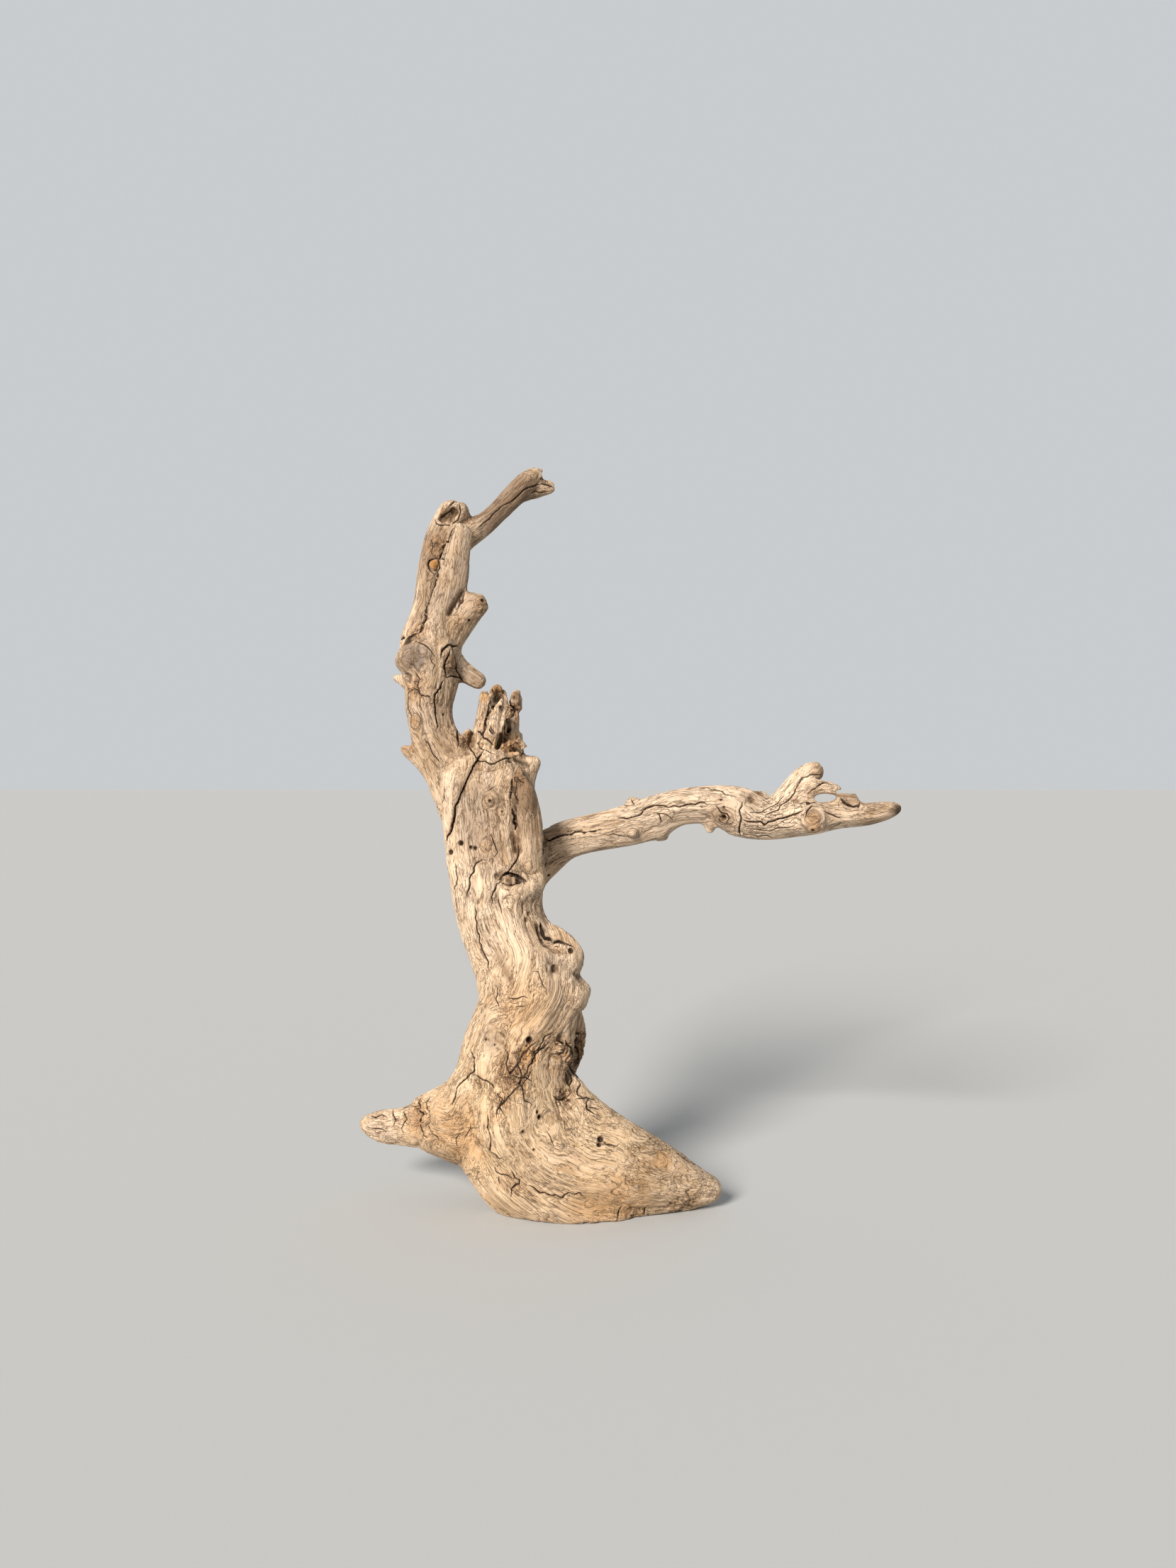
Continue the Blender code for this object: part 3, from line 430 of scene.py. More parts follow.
# Knots: (x, y, radius, bulge, depth of the groove round it), x and y in pixels and the others in mm.
KNOTS = {
    "orange_knot": (613, 796, 4.0, 0.7, 1.2), "grey_knob": (584, 925, 11.0, 2.4, 0.0),
    "limb_bump": (586, 1019, 5.0, 2.2, 0.5), "stub_end_knot": (680, 847, 4.0, 0.6, 0.5),
    "upper_trunk_knot": (691, 1130, 3.8, 0.9, 1.0), "small_trunk_knot": (708, 1145, 2.2, 0.5, 0.5),
    "trunk_knot": (686, 1191, 4.0, 0.9, 0.9), "eye_knot": (716, 1241, 3.0, 0.9, 0.8),
    "under_eye_lump": (718, 1272, 3.6, 0.3, 0.15), "side_eye": (745, 1222, 3.0, 0.4, 0.4),
    "burl_knot": (790, 1480, 5.0, 0.2, 0.9), "belly_knot": (770, 1584, 7.0, 0.3, 0.1),
    "grey_patch": (698, 1465, 6.0, 0.3, 0.15), "root_whorl": (625, 1625, 11.0, 0.5, 0.3),
    "arm_knob_face": (890, 1128, 4.6, 1.6, 0.7), "arm_bump": (892, 1176, 3.6, 1.2, 0.3),
    "arm_eye": (1020, 1152, 6.2, 1.6, 0.4), "arm_under_bump": (1005, 1164, 3.6, 1.4, 0.3),
    "arm_round_face": (1146, 1153, 5.8, -0.3, 0.9), "arm_lower_face": (1148, 1172, 3.4, 1.2, 0.5),
    "toe_knot": (935, 1640, 4.0, 0.2, 0.05),
}
# A knot is longer along the fibres than across. It parts them as far as its spread and is drawn as far as its
# reach, in radii. One with a shallower groove than the least has no rings.
KNOT_LENGTHWISE = 0.75
KNOT_SPREAD = 6.0
KNOT_REACH = 3.0
LEAST_GROOVE = 0.25

# Patches of a kind of surface, or of painted light or shade, in the photograph's pixels: (x, y, radius in mm,
# strength).
ROT_PATCHES = {
    "crown_rubble": (719, 1058, 9, 1.0), "crown_left": (655, 1042, 6, 0.9),
    "rot_pocket": (724, 1510, 12, 1.0), "rot_tail": (700, 1572, 8, 0.6), "rot_upper": (744, 1486, 9, 0.8),
    "rot_lower": (708, 1545, 9, 0.8), "limb_crackle": (586, 970, 9, 0.7), "stem_foot": (645, 882, 9, 0.5),
    "stub_crackle": (672, 858, 8, 0.45), "upper_crackle": (617, 768, 8, 0.7),
    "burl_side": (806, 1490, 13, 1.0), "burl_edge": (822, 1470, 10, 0.9),
    "round_face": (1146, 1157, 5, 0.5), "crown_left_shard": (680, 1010, 7, 0.4),
    "burl_foot": (795, 1548, 8, 0.8), "collar": (592, 1574, 11, 0.5), "tip": (545, 1580, 12, 0.3),
    "toe_end": (965, 1700, 12, 0.6), "foot": (728, 1672, 9, 0.5), "crown_shards": (690, 1036, 8, 0.4),
    "limb_foot": (588, 890, 8, 0.8), "cup": (633, 727, 6, 0.5), "thumb_top": (731, 1096, 5, 0.8),
    "toe": (890, 1715, 9, 0.5), "crown_back": (720, 1005, 10, 0.7),
}
SPLINTER_PATCHES = {
    "crown": (697, 1010, 20, 1.0), "crown_right": (724, 1010, 14, 1.0), "crown_top": (703, 975, 10, 1.0),
    "twig_end": (757, 668, 10, 0.6), "low_prong": (778, 690, 8, 0.6), "toe": (968, 1700, 12, 0.7),
    "hook_foot": (662, 965, 8, 0.5), "fork_twig": (1165, 1110, 8, 0.4), "burl_stub": (805, 1325, 9, 0.5),
}
SMOOTH_PATCHES = {
    "knob": (584, 925, 13, 0.9), "hook": (668, 962, 9, 0.6), "tall_limb": (650, 790, 26, 0.5),
    "waist_burl": (795, 1385, 12, 0.6), "upper_burl": (800, 1345, 10, 0.4),
    "trunk_side": (690, 1330, 30, 0.4), "belly": (860, 1620, 45, 0.4), "arm": (960, 1145, 36, 0.4),
    "arm_end": (1095, 1165, 36, 0.5),
}
# Brown patches, in part painted shade: the wide patch over the tall limb darkens its upper part, where less
# light falls. The rest, such as the thumb and the twig, is browner wood.
BROWN_AND_SHADED_PATCHES = {
    "thumb": (741, 1130, 13, 1.3), "thumb_low": (744, 1165, 12, 1.0), "thumb_tip": (735, 1100, 10, 1.5),
    "twig": (700, 715, 24, 1.2), "twig_middle": (735, 690, 18, 1.2), "twig_end": (765, 672, 16, 1.2),
    "left_shard": (681, 995, 9, 0.6), "right_shard": (732, 1000, 9, 1.2), "head_top": (728, 981, 4, 1.5),
    "back_shard": (703, 976, 7, 1.0), "cup": (631, 728, 7, 1.3), "stub": (668, 860, 13, 0.35),
    "hook_plate": (635, 935, 8, 1.0), "hook": (665, 960, 10, 0.7), "tall_limb": (640, 840, 48, 0.35),
    "stub_end": (680, 847, 5, 1.0), "limb_upper": (606, 770, 22, 0.9), "limb_side": (600, 860, 20, 0.6),
    "limb_middle": (592, 1000, 28, 0.5), "limb_low": (620, 1060, 22, 0.6),
    "upper_trunk": (676, 1140, 26, 0.45), "trunk_knots": (690, 1190, 20, 0.6),
    "trunk_side": (750, 1200, 10, 0.5), "crown": (718, 1050, 10, 0.5), "eye_knot": (718, 1241, 4, 0.9),
    "toe": (930, 1665, 26, 0.35), "foot": (800, 1700, 34, 0.25), "crown_left": (655, 1045, 8, 1.0),
    "left_twig": (574, 1053, 10, 0.8), "collar": (590, 1578, 10, 0.35), "arm_end": (1240, 1150, 14, 0.5),
    "arm_stub": (1198, 1125, 9, 0.9), "round_face": (1148, 1152, 7, 1.0),
    "under_face": (1148, 1172, 6, 1.0), "beside_face": (1172, 1150, 8, 0.6),
    "arm_shoulder": (1060, 1128, 8, 0.5), "arm_eye": (1018, 1152, 9, 0.6),
    "fork_inner": (1145, 1118, 7, 0.6), "burl_side": (812, 1490, 13, 0.9),
    "rot_pocket": (728, 1515, 14, 0.6), "fork_end": (1160, 1086, 9, 0.8), "toe_end": (965, 1700, 12, 0.4),
    "limb_foot": (575, 905, 8, 0.7),
}
# Pale patches, in part painted light: those on the central stem's lit left side, along the arm and on the
# burl are brightened as the light falls there. The rest is paler wood.
PALE_AND_LIT_PATCHES = {
    "arm": (960, 1145, 50, 1.9), "arm_end": (1095, 1165, 40, 3.2), "arm_root": (850, 1180, 30, 0.4),
    "central_stem": (640, 800, 13, 1.3), "central_stem_low": (628, 850, 13, 1.5),
    "limb_seam": (612, 880, 9, 1.2), "limb_left": (595, 1010, 14, 1.1),
    "front_shard": (696, 1025, 7, 1.2), "burl": (800, 1380, 20, 0.9), "trunk": (665, 1300, 34, 0.9),
    "waist": (720, 1425, 30, 0.7), "upper": (660, 1150, 20, 0.9), "burl_low": (790, 1420, 16, 1.0),
    "belly": (790, 1620, 40, 0.3), "trunk_side": (690, 1320, 30, 0.4), "tip": (540, 1585, 14, 1.5),
    "collar": (645, 1530, 14, 0.3), "under_eye": (735, 1290, 14, 0.5),
}
GREY_PATCHES = {
    "limb_upper": (632, 800, 48, 0.4), "limb_low": (600, 985, 34, 0.3), "knob": (584, 925, 15, 1.1),
    "waist": (695, 1463, 9, 0.9), "trunk_upper": (664, 1118, 16, 0.7),
    "trunk_knots": (672, 1164, 13, 0.8), "arm": (960, 1140, 50, 0.3), "arm_root": (860, 1170, 35, 0.35),
    "limb_side": (655, 800, 14, 0.9), "top_twig": (720, 705, 40, 0.6), "burl_dent": (785, 1360, 8, 0.8),
    "hook": (665, 955, 12, 0.4), "arm_end": (1240, 1160, 30, 0.3), "burl": (800, 1500, 16, 0.5),
    "tip": (540, 1585, 16, 0.15),
}
WARM_PATCHES = {
    "orange_knot": (613, 796, 3.0, 2.4), "left_shard_end": (684, 980, 5, 0.75),
    "back_shard_end": (702, 970, 5, 0.6), "limb_bump": (586, 1019, 4.0, 0.6),
    "rot_orange": (746, 1486, 7, 0.9), "waist": (740, 1430, 26, 0.35), "root_flank": (640, 1600, 26, 0.5),
    "root_collar": (590, 1590, 18, 0.4), "crown": (715, 1045, 10, 0.5),
    "foot_front": (860, 1700, 24, 0.5), "toe_mark": (935, 1635, 7, 0.5), "twig_end": (574, 1053, 8, 0.2),
    "knob_face": (1146, 1157, 6, 0.2), "limb_crackle": (590, 975, 10, 0.12),
    "stub_top": (798, 1320, 8, 0.3), "knob_cup": (1068, 1118, 4, 0.8), "crown_low": (722, 1050, 9, 0.7),
}
HONEY_PATCHES = {
    "root": (700, 1600, 75, 0.6), "root_right": (860, 1650, 55, 0.6), "waist": (740, 1440, 40, 0.5),
    "collar": (600, 1580, 30, 0.4), "hook_plate": (635, 937, 6, 1.2), "stem_foot": (640, 880, 10, 0.5),
}
# Dark patches, painted shade: they darken the crown's gaps and hollows, the crevices, the eye and the cup,
# where shade falls. A few, such as the arm's tip and the knob's end, are dark wood.
SHADE_AND_DARK_PATCHES = {
    "crown_hollow": (702, 988, 3.4, 1.0), "crown_gap": (718, 1018, 2.8, 1.0),
    "crown_slot": (702, 1046, 2.0, 1.0), "crown_cleft": (716, 1031, 3.2, 1.0),
    "crown_low": (712, 1042, 2.4, 0.9), "shard_knob": (707, 1001, 1.6, 1.0),
    "crown_neck": (722, 1008, 1.8, 0.9), "head_top": (725, 984, 1.5, 0.9),
    "head_low": (727, 997, 1.3, 0.9), "head_side": (734, 991, 1.0, 0.9),
    "front_crevice": (686, 1000, 1.2, 0.9), "left_gap": (692, 990, 1.4, 0.9),
    "arm_tip": (1266, 1143, 3.8, 1.0), "back_shard": (731, 992, 2.2, 0.8),
    "left_rubble": (653, 1052, 2.0, 0.8), "cup": (623, 732, 2.4, 0.95),
    "cup_right": (641, 722, 2.4, 0.95), "cup_middle": (632, 727, 4.6, 0.6),
    "crown_hollow_left": (697, 986, 2.2, 1.0), "crown_hollow_top": (708, 981, 1.8, 0.9),
    "knob_end": (1069, 1118, 2.8, 0.8), "thumb_top_dark": (739, 1092, 1.8, 0.8),
    "burl_crevice": (808, 1487, 4, 0.8), "eye": (732, 1243, 2.6, 1.0), "eye_tip": (738, 1244, 1.2, 1.0),
    "eye_left": (707, 1240, 1.5, 0.9), "eye_middle": (717, 1242, 0.8, 0.8),
    "eye_lid": (718, 1233, 1.0, 0.7), "thumb_crevice": (726, 1158, 2.2, 0.9),
    "thumb_top": (724, 1112, 2.0, 0.6), "limb_foot": (576, 903, 4, 0.85),
    "arm_seat": (768, 1190, 2.0, 0.9), "eye_heart": (717, 1242, 1.7, 0.85),
    "knob_cup": (1060, 1126, 5, 0.4), "burl_dent": (784, 1368, 1.8, 0.8),
    "burl_dent_upper": (778, 1358, 2.0, 0.35), "waist_side": (744, 1297, 1.4, 0.5),
    "stub_corner": (765, 1315, 2.6, 1.0), "burl_wall": (815, 1470, 2.4, 0.6),
    "burl_wall_low": (812, 1500, 2.4, 0.7),
}

# The patches that the finish reads: stains, and painted light and shade.
STAINS_LIGHT_AND_SHADE = {
    "rot": ROT_PATCHES, "grey": GREY_PATCHES, "warm": WARM_PATCHES, "honey": HONEY_PATCHES,
    "dark": SHADE_AND_DARK_PATCHES, "brown": BROWN_AND_SHADED_PATCHES, "pale": PALE_AND_LIT_PATCHES,
}

# The relief along the fibres: a swell's size across and along them and its height in mm, and its seed.
GROOVES = (5.4, 90.0, 0.45, 3)
CREASES = (8.5, 120.0, 0.58, 41)
FIBRES = (2.4, 38.0, 0.33, 57)
SPLINTERS = (2.6, 24.0, 1.5, 113)
# The relief that takes no heed of the fibres: its size and height in mm, and its seed.
LUMPS = (15.0, 0.4, 71)
CRUMBS = (3.8, 0.9, 83)
GRIT_SEED = 97
CREASE_EDGE = 0.28
CRUMB_EDGE = 0.3
FULL_RELIEF_RADIUS = 24
FULL_CHECK_RADIUS = 20
# How the fibres wander: a bend's size across and along them in mm, how far it sways them for each mm of the
# stem's radius, and the radius above which it sways them no further.
WAVES = (19.0, 24.0, 0.09)
SWAY_RADIUS = 40
# The short drying cracks: their size across and along the fibres and their depth in mm, and how far from the
# middle of their noise they reach.
DRY_CHECKS = (6.5, 17.0)
CHECK_DEPTH = 1.3
CHECK_HALF_WIDTH = 0.13
# How many times the surface is levelled to find its hollows.
LEVELLING_PASSES = 14

# The finish's colours, in linear light.
PALE = (0.72, 0.55, 0.395, 1)
TAN = (0.55, 0.385, 0.24, 1)
HONEY = (0.60, 0.41, 0.215, 1)
OCHRE = (0.38, 0.215, 0.09, 1)
RUST = (0.49, 0.275, 0.14, 1)
BARK = (0.265, 0.17, 0.10, 1)
UMBER = (0.30, 0.175, 0.085, 1)
BROWN = (0.17, 0.095, 0.048, 1)
DARK = (0.035, 0.02, 0.012, 1)
GREY = (0.215, 0.165, 0.13, 1)
ORANGE = (0.47, 0.21, 0.045, 1)
# The growth rings' pitch in mm, the wood's gloss, and the bump's height in metres.
THIN_RINGS = 1.6
WIDE_RINGS = 5.2
WOOD_SPECULAR = 0.28
BUMP_HEIGHT = 0.0008


def smooth_line(points, step):
    """The points of a smooth line through the given ones, about a step apart."""
    rows = np.array(points, float)
    rows = np.vstack([2 * rows[0] - rows[1], rows, 2 * rows[-1] - rows[-2]])
    line = []
    for before, start, end, after in zip(rows, rows[1:], rows[2:], rows[3:]):
        count = max(1, round(np.linalg.norm((end - start)[:3]) / step))
        for t in np.arange(count) / count:
            line.append(0.5 * (
                2 * start + (end - before) * t
                + (2 * before - 5 * start + 4 * end - after) * t**2
                + (3 * start - before - 3 * end + after) * t**3
            ))
    line.append(rows[-2])
    return np.array(line)


def spaced_line(corners, step):
    """Points about a step apart on the straight lines between the corners."""
    travel = path_travel(corners)
    spots = np.linspace(0, travel[-1], max(2, round(travel[-1] / step)))
    return np.stack([np.interp(spots, travel, column) for column in corners.T], axis=1)


def path_travel(points):
    """How far along a path each of its points lies."""
    return np.concatenate([[0], np.cumsum(np.linalg.norm(np.diff(points, axis=0), axis=1))])


def unit(rows):
    return rows / np.maximum(np.linalg.norm(rows, axis=-1, keepdims=True), 1e-9)


def ease(low, high, values):
    """0 below low and 1 above high, with a soft rise between them."""
    share = np.clip((values - low) / (high - low), 0, 1)
    return share * share * (3 - 2 * share)


def inside_box(points, low, high):
    """The numbers of the points that lie in a box."""
    return np.flatnonzero(((points > low) & (points < high)).all(1))


def ripple(rows, seed):
    """Smooth noise between about -1 and 1, with one swell to a unit of length."""
    cell = np.floor(rows).astype(int)
    within = rows - cell
    rise = within * within * within * (within * (within * 6 - 15) + 10)
    shares = (1 - rise, rise)
    total = np.zeros(len(rows))
    for corner in np.ndindex(2, 2, 2):
        key = SHUFFLE[(cell[:, 0] + corner[0] + seed) & 255]
        key = SHUFFLE[(key + cell[:, 1] + corner[1]) & 255]
        key = SHUFFLE[(key + cell[:, 2] + corner[2]) & 255]
        weight = shares[corner[0]][:, 0] * shares[corner[1]][:, 1] * shares[corner[2]][:, 2]
        total += weight * np.einsum("ij,ij->i", within - corner, SLOPES[key])
    return NOISE_HEIGHT * total


# The tables that the noise is drawn from, and what brings its height to about 1.
SLOPES = unit(np.random.default_rng(5).normal(size=(256, 3)))
SHUFFLE = np.random.default_rng(6).permutation(256)
NOISE_HEIGHT = 1.6


class Stem:
    """A stem's pith with a frame carried along it, so that any point gets straightened coordinates."""

    def __init__(self, stations, turns=NO_TURN):
        line = smooth_line(stations, STEM_STEP)
        self.centre = line[:, :3]
        self.radius = line[:, 3]
        self.ahead = unit(np.gradient(self.centre, axis=0))
        self.travel = path_travel(self.centre)
        side = unit(np.cross(self.ahead[0], FIRST_SIDE))
        sides = []
        for ahead in self.ahead:
            side = unit(side - ahead * side.dot(ahead))
            sides.append(side)
        side = np.array(sides)
        back = np.cross(self.ahead, side)
        turn = np.radians(np.interp(self.travel / self.travel[-1], *turns))[:, None]
        self.side = np.cos(turn) * side + np.sin(turn) * back
        self.back = np.cross(self.ahead, self.side)

    def nearest_station(self, points):
        nearest = np.zeros(len(points), int)
        best = np.full(len(points), np.inf)
        for i, centre in enumerate(self.centre):
            gap = ((points - centre) ** 2).sum(1)
            closer = gap < best
            best[closer] = gap[closer]
            nearest[closer] = i
        return nearest

    def straighten(self, points):
        """Each point's distance from the pith in radii, straightened place, fibres' frame, stem's radius."""
        nearest = self.nearest_station(points)
        height = ((points - self.centre[nearest]) * self.ahead[nearest]).sum(1)
        other = np.clip(nearest + np.where(height > 0, 1, -1), 0, len(self.centre) - 1)
        other_height = ((points - self.centre[other]) * self.ahead[other]).sum(1)
        span = height - other_height
        steady = np.abs(span) > 1e-6
        share = np.clip(np.where(steady, height / np.where(steady, span, 1), 0), 0, 1)[:, None]

        def between(rows):
            return rows[nearest] * (1 - share) + rows[other] * share

        out = points - between(self.centre)
        ahead = unit(between(self.ahead))
        side = between(self.side)
        back = between(self.back)
        radius = between(self.radius[:, None])[:, 0]
        travel = between(self.travel[:, None])[:, 0] + (out * ahead).sum(1)
        place = np.stack([(out * side).sum(1), (out * back).sum(1), travel], axis=1)
        return np.linalg.norm(out, axis=1) / radius, place, ahead, side, back, radius


class Knot:
    """A knot on the surface, round which the fibres part."""

    def __init__(self, centre, normal, ahead, radius, bulge, groove):
        self.centre = centre
        self.normal = normal
        self.across = unit(np.cross(normal, ahead))
        self.along = np.cross(self.across, normal)
        self.radius = radius
        self.bulge = bulge
        self.groove = groove

    def reach(self, points):
        """How far each point lies from the knot's middle in radii, across it in mm, how near its depth."""
        out = points - self.centre
        x = out @ self.across
        y = out @ self.along
        depth = np.exp(-(out @ self.normal / (1.3 * self.radius + 3)) ** 4)
        share = np.full(len(points), FAR)
        near = np.flatnonzero(np.abs(out).max(1) < KNOT_SPREAD * self.radius)
        uneven = 1 + 0.16 * ripple(points[near] / (0.9 * self.radius), 7)
        share[near] = uneven * np.hypot(x[near], KNOT_LENGTHWISE * y[near]) / self.radius
        return share, x, depth

    def height(self, points):
        share, _, depth = self.reach(points)
        dome = (self.bulge + 0.3 * ripple(points / 3.1, 19)) * np.clip(1 - (share / 1.5) ** 2, 0, 1) ** 2
        ring = self.groove * np.exp(-((share - 1) / 0.17) ** 2)
        return depth * (dome - ring)

    def parting(self, points):
        """How far the knot pushes the fibres aside at each point, as a vector."""
        share, x, depth = self.reach(points)
        push = np.where(share < 1, share**2, 1 / np.maximum(share, 1) ** 2)
        push *= 1 - ease(0.5 * KNOT_SPREAD, 0.9 * KNOT_SPREAD, share)
        return (-x * depth * push)[:, None] * self.across


class Grain:
    """The fibres at each point: the two stems that pass nearest, with their straightened coordinates."""

    def __init__(self, points, stems, knots=()):
        self.every = np.arange(len(points))
        self.reach = np.full((len(stems), len(points)), FAR)
        self.place = np.zeros((len(stems), len(points), 3))
        self.radius = np.zeros((len(stems), len(points)))
        ahead = np.zeros((len(stems), len(points), 3))
        parting = np.zeros(points.shape)
        for knot in knots:
            parting += knot.parting(points)
        across, along, lean = WAVES
        for i, stem in enumerate(stems):
            pad = STEM_PAD * stem.radius.max()
            near = inside_box(points, stem.centre.min(0) - pad, stem.centre.max(0) + pad)
            reach, place, way, side, back, radius = stem.straighten(points[near])
            swing = place / (across, across, along)
            sway = lean * np.minimum(radius, SWAY_RADIUS)
            for axis, frame_axis, seed in ((0, side, 11), (1, back, 29)):
                place[:, axis] += (parting[near] * frame_axis).sum(1) + sway * ripple(swing, seed)
            self.reach[i, near] = reach
            self.place[i, near] = place
            self.radius[i, near] = radius
            ahead[i, near] = way
        self.first, self.second = np.argsort(self.reach, axis=0)[:2]
        self.ahead = ahead[self.first, self.every]

    def noise(self, across, along, seed):
        """Noise drawn out along the fibres."""
        gap = self.reach[self.second, self.every] - self.reach[self.first, self.every]
        share = 0.5 - 0.5 * np.clip(gap / BLEND_BAND, 0, 1)
        values = [
            ripple(self.place[nearest, self.every] / (across, across, along), seed)
            for nearest in (self.first, self.second)
        ]
        return values[0] * (1 - share) + values[1] * share

    def thickness(self):
        return self.radius[self.first, self.every]


class Skin:
    """The rounded wood, for finding what the photograph's pixels show and for walking over its surface."""

    def __init__(self, wood, points, normals, ahead):
        self.tree = BVHTree.FromObject(wood, bpy.context.evaluated_depsgraph_get())
        corners = read(wood.data.loops, "vertex_index", np.int32)
        self.corner = corners[read(wood.data.polygons, "loop_start", np.int32)]
        self.points = points
        self.normals = normals
        self.ahead = ahead

    def at(self, hit):
        """The surface point of a hit, its normal and its fibres' way, or None where nothing was hit."""
        place, _, face, _ = hit
        if face is None:
            return None
        corner = self.corner[face]
        return np.array(place) / MM, self.normals[corner], self.ahead[corner]

    def seen(self, x, y):
        """The surface that a pixel of the photograph shows."""
        way = Vector(((x - PICTURE[0] / 2) / LENS_PIXELS, 1, (PICTURE[1] / 2 - y) / LENS_PIXELS))
        return self.at(self.tree.ray_cast(Vector(CAMERA_PLACE), way))

    def nearest(self, point):
        return self.at(self.tree.find_nearest(Vector(point * MM)))

    def turned_away(self, least):
        """The points that face back by more than the least, where the photograph doesn't show the wood."""
        return np.flatnonzero(self.normals[:, 1] > least)

    def spots(self, table):
        """What the wood shows at each pixel of a table, with the rest of the table's row."""
        found = [(self.seen(x, y), rest) for x, y, *rest in table.values()]
        return [(spot, rest) for spot, rest in found if spot is not None]


class Crack:
    """A crack's line on the surface, with its own way across and its narrowing ends."""

    def __init__(self, half_width, depth, spots, rng):
        self.points = np.array([spot[0] for spot in spots])
        self.depth = depth
        along = unit(np.gradient(self.points, axis=0))
        self.side = unit(np.cross(np.array([spot[1] for spot in spots]), along))
        travel = path_travel(self.points)
        narrowing = min(CRACK_END, 0.4 * travel[-1])
        ends = np.clip(np.minimum(travel, travel[-1] - travel) / narrowing, 0, 1)
        uneven = 0.8 + 0.3 * rng.random(len(travel))
        self.half_width = half_width * ends**0.6 * uneven


def traced_cracks(skin, table, rng):
    """The cracks of a table, laid on the surface where the photograph shows them, from kink to kink."""
    cracks = []
    for half_width, depth, pixels in table.values():
        kinks = spaced_line(np.array(pixels, float), CRACK_KINK)
        kinks[1:-1] += rng.normal(scale=CRACK_WIGGLE, size=kinks[1:-1].shape)
        runs = [[]]
        for x, y in spaced_line(kinks, TRACED_STEP):
            found = skin.seen(x, y)
            if found is None:
                continue
            if runs[-1] and np.linalg.norm(found[0] - runs[-1][-1][0]) > CRACK_JUMP:
                runs.append([])
            runs[-1].append(found)
        cracks += [Crack(half_width, depth, run, rng) for run in runs if len(run) > 3]
    return cracks


def hidden_cracks(skin, rng):
    """Cracks along the fibres where the photograph doesn't show the wood."""
    cracks = []
    for start in rng.choice(skin.turned_away(CRACKS_FACE_BACK), HIDDEN_CRACKS):
        place = skin.points[start]
        length = rng.uniform(*HIDDEN_LENGTHS)
        bend = rng.normal(scale=0.2)
        run = []
        for _ in range(round(length / HIDDEN_STEP)):
            place, normal, ahead = skin.nearest(place)
            run.append((place, normal))
            bend = 0.8 * bend + rng.normal(scale=0.22)
            place = place + HIDDEN_STEP * unit(ahead + bend * np.cross(normal, ahead))
        half_width = rng.uniform(*HIDDEN_HALF_WIDTHS)
        cracks.append(Crack(half_width, 3 * half_width, run, rng))
    return cracks


def nearest_crack(points, cracks):
    """Each point's signed distance to the nearest crack's line, and that crack's half-width and depth."""
    best = np.full(len(points), CRACK_REACH)
    side = np.full(len(points), CRACK_REACH)
    half_width = np.zeros(len(points))
    depth = np.zeros(len(points))
    for crack in cracks:
        near = inside_box(points, crack.points.min(0) - CRACK_REACH, crack.points.max(0) + CRACK_REACH)
        gaps = np.linalg.norm(points[near, None] - crack.points[None], axis=2)
        closest = gaps.argmin(1)
        gap = gaps[np.arange(len(near)), closest]
        chosen = gap < best[near]
        rows = near[chosen]
        spots = closest[chosen]
        best[rows] = gap[chosen]
        side[rows] = ((points[rows] - crack.points[spots]) * crack.side[spots]).sum(1)
        fading = 1 - ease(0.6 * CRACK_REACH, CRACK_REACH, gap[chosen])
        half_width[rows] = crack.half_width[spots] * fading
        depth[rows] = crack.depth * crack.half_width[spots] / crack.half_width.max()
    return side, half_width, depth


def patch_share(skin, points, table):
    """How strongly each point lies in one of a table's patches."""
    share = np.zeros(len(points))
    uneven = 1 + 0.4 * ripple(points / 3.4, 7)
    for (middle, _, _), (radius, strength) in skin.spots(table):
        gap = uneven * np.linalg.norm(points - middle, axis=1)
        share = np.maximum(share, strength * (1 - ease(0.35 * radius, 1.55 * radius, gap)))
    return share


def seen_hollows(skin, table):
    """The holes or pits of a table, as (middle, normal, radius, depth)."""
    return [(middle, normal, *size) for (middle, normal, _), size in skin.spots(table)]


def hidden_holes(skin, rng):
    """Insects' holes where the photograph doesn't show the wood."""
    holes = []
    for start in rng.choice(skin.turned_away(HOLES_FACE_BACK), HIDDEN_HOLES):
        radius = rng.uniform(*HIDDEN_RADII)
        holes.append((skin.points[start], skin.normals[start], radius, 1.5 * radius))
    return holes


def hole_gap(points, holes):
    """How far each point lies outside the nearest hole's rim, in mm, and how deep the hole is there."""
    gap = np.full(len(points), HOLE_REACH)
    push = np.zeros(len(points))
    for middle, normal, radius, depth in holes:
        out = points - middle
        height = out @ normal
        away = np.linalg.norm(out - height[:, None] * normal, axis=1)
        near = np.abs(height) < depth + 2
        gap = np.where(near, np.minimum(gap, away - radius), gap)
        push = np.maximum(push, np.where(near, depth * (1 - ease(0.45 * radius, 1.15 * radius, away)), 0))
    return gap, push


class Features:
    """What growth, weather and insects left in the wood: knots, holes, pits and two layers of cracks."""

    def __init__(self, skin, rng):
        self.knots = [Knot(*spot, *size) for spot, size in skin.spots(KNOTS)]
        self.holes = seen_hollows(skin, HOLES) + hidden_holes(skin, rng)
        self.pits = seen_hollows(skin, PITS)
        self.cracks = [
            traced_cracks(skin, CRACKS, rng) + hidden_cracks(skin, rng),
            traced_cracks(skin, SIDE_CRACKS, rng),
        ]


def drying_checks(points, grain, rot):
    """The short drying cracks: a value that is 0 along their lines, and how open they are."""
    across, along = DRY_CHECKS
    value = grain.noise(across, along, 131) + 0.35 * ripple(points / 5.0, 139)
    scattered = ease(0.12, 0.42, ripple(points / 13.0, 149) + 0.15 * ripple(points / 6.0, 151))
    return value, np.clip(scattered * (0.45 + 0.6 * rot) + 0.75 * rot, 0, 1)


